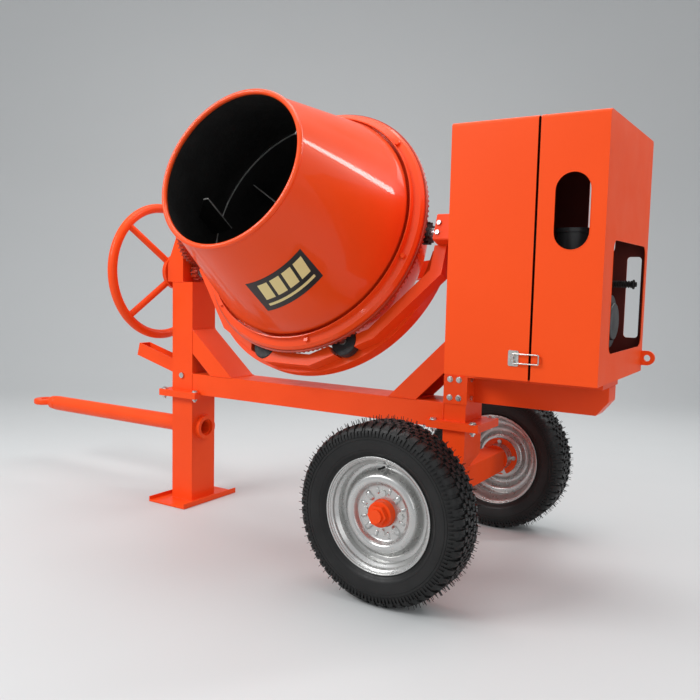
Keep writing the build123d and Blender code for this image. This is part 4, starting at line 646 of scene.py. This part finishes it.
# %% Tyres
spin_steps = 96
blocks_round, ribs_round, whiskers_round = 56, 128, 60
whisker_gap = 0.80             # radians left free of whiskers where the tyre stands on the ground
raised_rings = ((203, 67.5), (214, 73.8), (247, 80.6), (256, 80.8))
tyre_half = [(290, 0), (289, 58), (281, 73), (263, 81), (240, 80.5), (208, 73), (195, 61),
             (183, 61)]
tyre_outline = [(r, -h) for r, h in reversed(tyre_half[1:])] + tyre_half


def ring_line(radius, height, side):
    """A fine moulded ring on the sidewall."""
    h = side * height
    return [(radius - 1.2, h - side * 1.0), (radius, h + side * 1.1),
            (radius + 1.2, h - side * 1.0)]


for word, place in wheel_frames.items():
    body = word + "_wheel"
    rubber = finishes["tyre"]
    parts = [lathe(rounded(tyre_outline, 9, 3), spin_steps, place)]
    for side in (-1, 1):
        for radius, height in raised_rings:
            parts.append(lathe(ring_line(radius, height, side), spin_steps, place))
        shoulder = [(286, side * 44), (296.6, side * 44), (296, side * 58), (285, side * 75),
                    (276, side * 79), (272, side * 74)]
        start = 0.0 if side > 0 else math.pi / blocks_round
        parts.append(ring_of(rib(shoulder, 9.5), blocks_round, place, rubber, start=start))
        wall = [(258, side * 79), (258, side * 82.3), (270, side * 82.4), (283, side * 76),
                (276, side * 71)]
        parts.append(ring_of(rib(wall, 3.0), ribs_round, place, rubber, start=start + 0.02))
        crown = [(287, side * 22), (296.8, side * 22), (296.8, side * 39), (287, side * 39)]
        parts.append(ring_of(rib(crown, 10), blocks_round, place, rubber, start=start + 0.03))
        middle = [(287, side * 2), (296.2, side * 2), (296.2, side * 17), (287, side * 17)]
        parts.append(ring_of(rib(middle, 12.5, 0.2 * side), blocks_round, place, rubber,
                             start=start + 0.08))
    tyre = joined(word + "_tyre_tread", parts, rubber, 40)
    settle(tyre, body, [word + "_tyre"])
    whisker = [(295, -1.0), (312, -0.55), (312, 0.55), (295, 1.0)]
    ground = -math.pi / 2 if word == "left" else math.pi / 2
    whiskers = []
    for row, height in enumerate((-66, -40, -14, 14, 40, 66)):
        drop = 8 if abs(height) > 60 else 0
        hair = rib([(r - drop, h + height) for r, h in whisker], 0.8)
        whiskers.append(ring_of(hair, whiskers_round, place, rubber,
                                start=ground + 0.38 + row * 0.013,
                                step=(2 * math.pi - whisker_gap) / whiskers_round,
                                wander=0.02, seed=row + 3))
    settle(joined(word + "_tyre_whiskers", whiskers, rubber), body)
    print(word, "tyre", len(tyre.data.polygons), "faces")

# %% Rims with a stepped disc, pressed domes, lips and a valve
barrel = [(191.5, 63), (190.5, 66), (187, 66), (185.5, 63), (185, 59), (179, 56), (175, 52),
          (174, 44), (168, 38), (163, 33), (162, 10), (162, -20), (169, -30), (174, -44),
          (179, -56), (185, -59), (185.5, -63), (187, -66), (190.5, -66), (191.5, -63),
          (189, -61), (181.5, -60), (178, -48), (166, -22), (166, 30), (178, 48), (181.5, 60),
          (189, 61)]
disc = [(163.5, 10), (150, 8), (142, 12), (136, 22), (131, 34), (125, 41), (113, 43.5), (103, 41),
        (97, 33), (93, 24), (87, 21), (45, 21), (45, 17), (89, 17), (97, 20), (101, 29), (106, 36),
        (113, 39), (122, 37), (127, 30), (131, 19), (138, 7), (150, 3), (163.5, 5)]


def long_dome(length, width, height):
    """A pressed rib: a stretched dome with a flat foot, lying along X."""
    verts, faces = [], []
    rings = ((1.0, 0.0), (0.86, 0.55), (0.6, 0.86), (0.3, 1.0))
    sides = 20
    for spread, rise in rings:
        for k in range(sides):
            t = 2 * math.pi * k / sides
            end = math.copysign(length - width, math.cos(t)) / 2
            x = math.cos(t) * width / 2 * spread + end * spread
            verts.append((x * mm, math.sin(t) * width / 2 * spread * mm, rise * height * mm))
    for ring in range(len(rings) - 1):
        for k in range(sides):
            n = (k + 1) % sides
            this, above = ring * sides, (ring + 1) * sides
            faces.append((this + k, this + n, above + n, above + k))
    faces.append(tuple(range(sides)))
    faces.append(tuple(range(3 * sides, 4 * sides)))
    return mesh_from(verts, faces)


valve = [(0, 0), (4, 0), (4, 14), (2.6, 16), (2.6, 26), (4, 27), (4, 36), (0, 37)]
for word, place in wheel_frames.items():
    steel = finishes["rim_steel"]
    parts = [lathe(rounded(barrel, 2), spin_steps, place),
             lathe(rounded(disc, 5), spin_steps, place)]
    for bulge, out, turn in ((long_dome(38, 20, 9), 0.0700, 45), (long_dome(24, 11, 5), 0.0740, 17),
                             (long_dome(24, 11, 5), 0.0740, -17)):
        bulge.transform(Matrix.Translation((out, 0, 0.0206)))
        parts.append(ring_of(bulge, 4, place @ Matrix.Rotation(math.radians(turn), 4, "Z"), steel))
    settle(joined(word + "_rim_pressed", parts, steel, 50), word + "_wheel",
           [word + "_rim"])
    stem = lathe(valve, 14, place @ Matrix.Translation((0.0, 0.150, 0.020)))
    settle(joined(word + "_valve_stem", [stem], finishes["tyre"]), word + "_wheel")

# %% [markdown]
# ## The decal
# A black panel with cream bars sits on the cone. A flat sheet could be wrapped on by a modifier,
# but its corners would then drift. So the thin sheet is built point by point from the cone's own
# slope, just proud of it, and its pattern reads the sheet's UV map.

# %% Decal on the cone
def cone_radius_at(height):
    return cone_foot_radius - (height - cone_foot_height) * cone_narrowing / cone_rise


decal_corners = ((-83.8, 249.2), (-45.0, 288.8), (-84.3, 396.7), (-42.2, 423.3))
across, up = 40, 14
decal_top, decal_underside = 0.9, 0.3      # millimetres above the cone


def decal_point(u, v, lift):
    """A point of the decal: its corners are (angle, height) pairs on the cone, low pair first."""
    low_left, low_right, high_left, high_right = (Vector(c) for c in decal_corners)
    low_spot, high_spot = low_left.lerp(low_right, u), high_left.lerp(high_right, u)
    angle, height = low_spot.lerp(high_spot, v)
    radius = (cone_radius_at(height) + lift) * mm
    turn = math.radians(angle)
    return drum_frame @ Vector((radius * math.cos(turn), radius * math.sin(turn), height * mm))


verts, faces = [], []
for lift in (decal_top, decal_underside):
    for j in range(up + 1):
        for i in range(across + 1):
            verts.append(decal_point(i / across, j / up, lift))
row = across + 1
layer = row * (up + 1)
for j in range(up):
    for i in range(across):
        a = j * row + i
        faces.append((a, a + 1, a + row + 1, a + row))
        faces.append((layer + a, layer + a + row, layer + a + row + 1, layer + a + 1))
rim_loop = [i for i in range(across)] + [across + j * row for j in range(up)]
rim_loop += [up * row + across - i for i in range(across)] + [(up - j) * row for j in range(up)]
for k, a in enumerate(rim_loop):
    b = rim_loop[(k + 1) % len(rim_loop)]
    faces.append((a, layer + a, layer + b, b))
decal_mesh = bpy.data.meshes.new("decal")
decal_mesh.from_pydata([tuple(v) for v in verts], [], faces)
uv = decal_mesh.uv_layers.new(name="UVMap")
for loop in decal_mesh.loops:
    k = loop.vertex_index % layer
    uv.data[loop.index].uv = ((k % row) / across, (k // row) / up)
decal = add_object("drum_decal", decal_mesh)
decal_mesh.update()


# %% The decal's pattern: four cream bars over a thin line, on black
def bar_mask(tree, u, v, left, right, low, high, slant=0.0):
    """1 inside a slanted bar of the UV square, 0 outside."""
    lean = math_node(tree, "MULTIPLY", v, slant)
    x = math_node(tree, "SUBTRACT", u, lean)
    mask = math_node(tree, "GREATER_THAN", x, left)
    mask = math_node(tree, "MULTIPLY", mask, math_node(tree, "LESS_THAN", x, right))
    mask = math_node(tree, "MULTIPLY", mask, math_node(tree, "GREATER_THAN", v, low))
    return math_node(tree, "MULTIPLY", mask, math_node(tree, "LESS_THAN", v, high))


panel = finish("decal_print", (0.02, 0.02, 0.02), (0.016, 0.016, 0.016), rough=(0.3, 0.4),
               bump=0.02)
cream = (0.78, 0.66, 0.30, 1)
tree = panel.node_tree
uv_node = tree.nodes.new("ShaderNodeUVMap")
uv_node.uv_map = "UVMap"
split = tree.nodes.new("ShaderNodeSeparateXYZ")
tree.links.new(uv_node.outputs[0], split.inputs[0])
u, v = split.outputs[0], split.outputs[1]
bar_spans = [(0.10, 0.26), (0.31, 0.47), (0.52, 0.68), (0.73, 0.89)]
mask = None
for left, right in bar_spans:
    bar = bar_mask(tree, u, v, left, right, 0.36, 0.86, 0.06)
    mask = bar if mask is None else math_node(tree, "MAXIMUM", mask, bar)
mask = math_node(tree, "MAXIMUM", mask, bar_mask(tree, u, v, 0.10, 0.92, 0.15, 0.23))
mixer = tree.nodes.new("ShaderNodeMix")
mixer.data_type = "RGBA"
shader = tree.nodes["Principled BSDF"]
black = shader.inputs["Base Color"].links[0].from_socket
tree.links.new(mask, mixer.inputs["Factor"])
tree.links.new(black, mixer.inputs["A"])
mixer.inputs["B"].default_value = cream
tree.links.new(mixer.outputs["Result"], shader.inputs["Base Color"])
settle(decal, "drum", materials=[panel])
print("decal", len(decal_mesh.polygons), "faces")

# %% [markdown]
# ## Weld beads
# The frame is welded from tube, and each joint has a rippled bead. A swept round would be too even.
# A second node tree walks along a path and drops a small ball every few millimetres, each a little
# larger or smaller than the last, much as the molten drops of a real bead lie.

# %% The bead tree
bead_tree, given, result = new_tree("weld_bead", [
    ("Path", "NodeSocketObject", None), ("Ripple", "NodeSocketFloat", 0.0035),
    ("Spacing", "NodeSocketFloat", 0.004), ("Unevenness", "NodeSocketFloat", 0.15),
    ("Seed", "NodeSocketInt", 4), ("Finish", "NodeSocketMaterial", None)])
link = bead_tree.links.new
path_in = bead_tree.nodes.new("GeometryNodeObjectInfo")
link(given["Path"], path_in.inputs["Object"])
curve = bead_tree.nodes.new("GeometryNodeMeshToCurve")
link(path_in.outputs["Geometry"], curve.inputs[0])
dots = bead_tree.nodes.new("GeometryNodeCurveToPoints")
dots.mode = "LENGTH"
link(curve.outputs[0], dots.inputs["Curve"])
link(given["Spacing"], dots.inputs["Length"])
ball = bead_tree.nodes.new("GeometryNodeMeshIcoSphere")
ball.inputs["Subdivisions"].default_value = 1
link(given["Ripple"], ball.inputs["Radius"])
size = bead_tree.nodes.new("FunctionNodeRandomValue")
link(math_node(bead_tree, "SUBTRACT", 1.0, given["Unevenness"]), size.inputs[2])
link(math_node(bead_tree, "ADD", 1.0, given["Unevenness"]), size.inputs[3])
link(given["Seed"], size.inputs["Seed"])
copies = bead_tree.nodes.new("GeometryNodeInstanceOnPoints")
link(dots.outputs[0], copies.inputs["Points"])
link(ball.outputs[0], copies.inputs["Instance"])
link(dots.outputs["Rotation"], copies.inputs["Rotation"])
link(size.outputs[1], copies.inputs["Scale"])
real = bead_tree.nodes.new("GeometryNodeRealizeInstances")
link(copies.outputs[0], real.inputs[0])
painted = bead_tree.nodes.new("GeometryNodeSetMaterial")
link(real.outputs[0], painted.inputs["Geometry"])
link(given["Finish"], painted.inputs["Material"])
link(painted.outputs[0], result["Geometry"])


def welds(name, loops, body, ripple=3.2):
    """Painted beads round several closed paths, given as lists of points in metres."""
    paint = finishes["frame_paint"]
    verts, edges = [], []
    for loop in loops:
        first = len(verts)
        verts += [tuple(p) for p in loop]
        edges += [(first + i, first + i + 1) for i in range(len(loop) - 1)]
        edges.append((len(verts) - 1, first))
    path = bpy.data.meshes.new("path")
    path.from_pydata(verts, edges, [])
    holder = add_object("path", path)
    mesh = run_tree(bead_tree, {"Path": holder, "Ripple": ripple * mm,
                                "Spacing": ripple * 1.25 * mm, "Finish": paint})
    bpy.data.objects.remove(holder)
    return settle(joined(name, [mesh], paint, 60), body)


# %% Where the frame is welded
def rectangle(x0, x1, y0, y1, z):
    return [(x0, y0, z), (x1, y0, z), (x1, y1, z), (x0, y1, z)]


def corners(node):
    low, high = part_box(node)
    return low.x, high.x, low.y, high.y, low.z, high.z


def upright_loop(x, low, top):
    """A loop round the tube's width at one x, standing across the machine."""
    return [(x, -leg_y, low), (x, -leg_y, top), (x, leg_y, top), (x, leg_y, low)]


def around_leg(z):
    return rectangle(-leg_x, leg_x, -leg_y, leg_y, z)


leg_x, leg_y = 0.0625, 0.075                       # half of the leg's section
foot_top, leg_flange_low, leg_flange_top = 0.008, 0.491, 0.521
post_flange_low, post_flange_top = 0.508, 0.537
beam_x0, beam_x1, beam_low, beam_top = (corners("main_beam")[i] for i in (0, 1, 4, 5))
brace_x0, brace_x1 = corners("beam_braces")[:2]
post_x0, post_x1 = corners("splice_plate")[0], corners("splice_plate")[1] - 0.005
axle_top, bracket_low = corners("axle_beam")[5], corners("bearing_bracket")[4]
axle_x0, axle_x1, axle_half_y = 1.285, 1.375, 0.05
bracket_x0, bracket_x1 = -0.0625, 0.003
brace_far, brace_near = 0.236, 0.115               # a brace's foot, from its upper end
sleeve_radius, sleeve_z, sleeve_steps = 0.055, 0.345, 48

loops = [around_leg(foot_top), around_leg(leg_flange_low), around_leg(leg_flange_top),
         rectangle(post_x0, post_x1, -leg_y, leg_y, post_flange_top),
         rectangle(post_x0, post_x1, -leg_y, leg_y, post_flange_low)]
loops += [upright_loop(x, beam_low, beam_top) for x in (beam_x0, beam_x1)]
for x, way, rise, depth in ((brace_x0, 1, 0.203, 0.111), (brace_x1, -1, 0.230, 0.117)):
    top = beam_top + rise
    loops.append(upright_loop(x, top - depth, top))
    far, near = x + way * brace_far, x + way * brace_near
    loops.append([(near, -leg_y, beam_top), (far, -leg_y, beam_top), (far, leg_y, beam_top),
                  (near, leg_y, beam_top)])
loops.append(rectangle(axle_x0, axle_x1, -axle_half_y, axle_half_y, axle_top))
loops.append(rectangle(bracket_x0, bracket_x1, -leg_y, leg_y, bracket_low))
weld_piece = welds("frame_welds", loops, "chassis")
turns = [2 * math.pi * k / sleeve_steps for k in range(sleeve_steps)]
circles = [[(x, sleeve_radius * math.cos(t), sleeve_z + sleeve_radius * math.sin(t)) for t in turns]
           for x in (-leg_x, leg_x)]
welds("sleeve_welds", circles, "chassis", 2.8)
print("weld ripples", len(weld_piece.data.polygons) // 20)

# %% [markdown]
# ## Washers and collars
# The solid model has the bolts' bodies. Washers could be modelled there too, but they carry
# nothing, so they are small turned shapes here. The turntable sets out those that lie on a
# circle, and a list places the rest.

# %% Washers under the frame's bolts
def washer(inner, outer, thick):
    chamfer = thick * 0.35
    return [(inner, 0), (outer, 0), (outer, thick - chamfer), (outer - chamfer, thick),
            (inner, thick)]


round_steps = 28
lying = [(sx * 0.095, sy * 0.092, leg_flange_top) for sx in (-1, 1) for sy in (-1, 1)]
lying += [(x, sy * 0.087, post_flange_top) for x in (1.2905, 1.4485) for sy in (-1, 1)]
splice_face_y = -0.0801
standing = [(x, splice_face_y, z) for x in (1.3505, 1.3855) for z in (0.625, 0.692)]
face_front = Matrix.Rotation(math.pi / 2, 4, "X")
washers = [lathe(washer(6, 15, 2.2), round_steps, Matrix.Translation(p)) for p in lying]
washers += [lathe(washer(5, 11.5, 1.6), round_steps, Matrix.Translation(p) @ face_front)
            for p in standing]
zinc = finishes["zinc"]
settle(joined("frame_washers", washers, zinc, 40), "chassis")
print(len(washers), "washers")

# %% Collars under the road wheels' bolts
wheel_bolts = 4
bolt_place = Matrix.Translation((0, 0.065, 0.0201))
for word, place in wheel_frames.items():
    collar = ring_of(lathe(washer(7, 12.5, 2.0), 24, bolt_place), wheel_bolts, place, zinc)
    settle(joined(word + "_wheel_collars", [collar], zinc, 40), word + "_wheel")

# %% [markdown]
# ## The cabinet's folded edges
# A window or opening in sheet metal has its edge folded over. A bevel can only round the sheet's
# own thickness, and a fold is thicker than that. A swept lip does it: the outline of the opening,
# given a small round section.

# %% A swept lip
def sweep(path, radius, sides=8):
    """A round bead along a closed path of points, as a mesh."""
    curve = bpy.data.curves.new("lip", "CURVE")
    curve.dimensions = "3D"
    line = curve.splines.new("POLY")
    line.points.add(len(path) - 1)
    for point, spot in zip(line.points, path):
        point.co = (*spot, 1)
    line.use_cyclic_u = True
    curve.bevel_depth = radius * mm
    curve.bevel_resolution = max(0, sides // 2 - 2)
    holder = add_object("lip", curve)
    bpy.context.view_layer.update()
    graph = bpy.context.evaluated_depsgraph_get()
    mesh = bpy.data.meshes.new_from_object(holder.evaluated_get(graph))
    bpy.data.objects.remove(holder)
    return mesh


def round_rectangle(cx, cz, wide, high, radius, steps=8):
    """Points of a rounded rectangle in metres about a centre."""
    points = []
    for sx, sz, start in ((1, 1, 0), (-1, 1, 90), (-1, -1, 180), (1, -1, 270)):
        for k in range(steps + 1):
            t = math.radians(start + 90 * k / steps)
            points.append((cx + sx * (wide / 2 - radius) + radius * math.cos(t),
                           cz + sz * (high / 2 - radius) + radius * math.sin(t)))
    return points


paint = finishes["cabinet_paint"]
front_y, rear_y, side_x = -0.2995, 0.2985, 1.9325
window = round_rectangle(1.832, 1.264, 0.110, 0.234, 0.0549)
rear_window = round_rectangle(1.780, 1.264, 0.080, 0.234, 0.0399)
side_opening = round_rectangle(0.035, 1.007, 0.460, 0.355, 0.034)
lips = [sweep([(x, front_y, z) for x, z in window], 1.5),
        sweep([(x, rear_y, z) for x, z in rear_window], 1.4),
        sweep([(side_x, y, z) for y, z in side_opening], 1.5)]
settle(joined("hood_opening_lips", lips, paint, 50), "hood")
print("lips on", len(lips), "openings")

# %% [markdown]
# ## The floor, the light and the camera
# A pale floor runs up into a backdrop without a corner. A sky image could light the machine, but
# area lights need no file and each can be placed: a key on the left, a top light, a weak fill on
# the right, a narrow one for the long streak on the cone, and a rim light behind.

# %% Floor and backdrop
azimuth, elevation, roll = math.radians(32.4), math.radians(5.2), math.radians(1.3)
floor_reach = 40.0
bend_start, bend_radius, bend_steps, wall_top = 3.5, 2.5, 12, 9.0


def backdrop_mesh():
    verts, faces = [], []
    profile = [(-floor_reach, 0), (bend_start, 0)]
    for k in range(1, bend_steps + 1):
        t = math.pi / 2 * k / bend_steps
        profile.append((bend_start + bend_radius * math.sin(t),
                        bend_radius - bend_radius * math.cos(t)))
    profile.append((bend_start + bend_radius, wall_top))
    for depth, height in profile:
        for across in (-floor_reach, floor_reach):
            verts.append((across, depth, height))
    for k in range(len(profile) - 1):
        a = 2 * k
        faces.append((a, a + 1, a + 3, a + 2))
    return mesh_from(verts, faces, "backdrop")


pale = finish("studio_floor", (0.585, 0.598, 0.598), (0.575, 0.588, 0.588), rough=(0.55, 0.65),
              bump=0.01, grain=30, cloud=0.6)
floor = add_object("studio_floor", backdrop_mesh())
floor.data.materials.append(pale)
for face in floor.data.polygons:
    face.use_smooth = True
if floor.data.polygons[0].normal.z < 0:
    floor.data.flip_normals()
floor.rotation_euler.z = azimuth
floor.location = (0.84, 0.0, -0.0005)

# %% Soft studio lights
target = Vector((0.8419, 0.0362, 0.7563))


def area_light(name, place, size, power, aim=target):
    data = bpy.data.lights.new(name, "AREA")
    data.shape = "RECTANGLE"
    data.size, data.size_y = size
    data.energy = power
    lamp = add_object(name, data)
    lamp.location = place
    lamp.rotation_euler = (aim - Vector(place)).to_track_quat("-Z", "Y").to_euler()


area_light("key", (-1.2, -3.6, 3.4), (2.4, 1.8), 138)
area_light("top", (0.6, 0.2, 4.6), (3.4, 2.6), 100)
area_light("fill", (4.4, -2.6, 1.8), (2.0, 2.4), 16)
area_light("streak", (3.55, 1.85, 3.65), (0.28, 1.6), 36, aim=Vector((1.05, -0.30, 1.44)))
area_light("rim", (1.6, 3.4, 3.0), (2.4, 1.2), 24)
world = bpy.data.worlds.new("studio_world")
world.use_nodes = True
sky = world.node_tree.nodes["Background"].inputs
sky["Color"].default_value = (0.95, 0.97, 1.0, 1)
sky["Strength"].default_value = 0.6
bpy.context.scene.world = world
bpy.context.scene.view_settings.view_transform = "Standard"

# %% Camera at a low three-quarter angle
camera_distance, camera_lens = 3.1335, 39.1
back = Vector((math.sin(azimuth) * math.cos(elevation), -math.cos(azimuth) * math.cos(elevation),
               math.sin(elevation)))
right = Vector((math.cos(azimuth), math.sin(azimuth), 0))
upward = back.cross(right)
turned_right = right * math.cos(roll) + upward * math.sin(roll)
turned_up = upward * math.cos(roll) - right * math.sin(roll)
camera_data = bpy.data.cameras.new("camera")
camera_data.lens = camera_lens
camera_data.sensor_width = 36
camera = add_object("camera", camera_data)
pose = Matrix((turned_right, turned_up, back)).transposed().to_4x4()
pose.translation = target + back * camera_distance
camera.matrix_world = pose
bpy.context.scene.camera = camera
print("camera at", [round(c, 3) for c in camera.location])
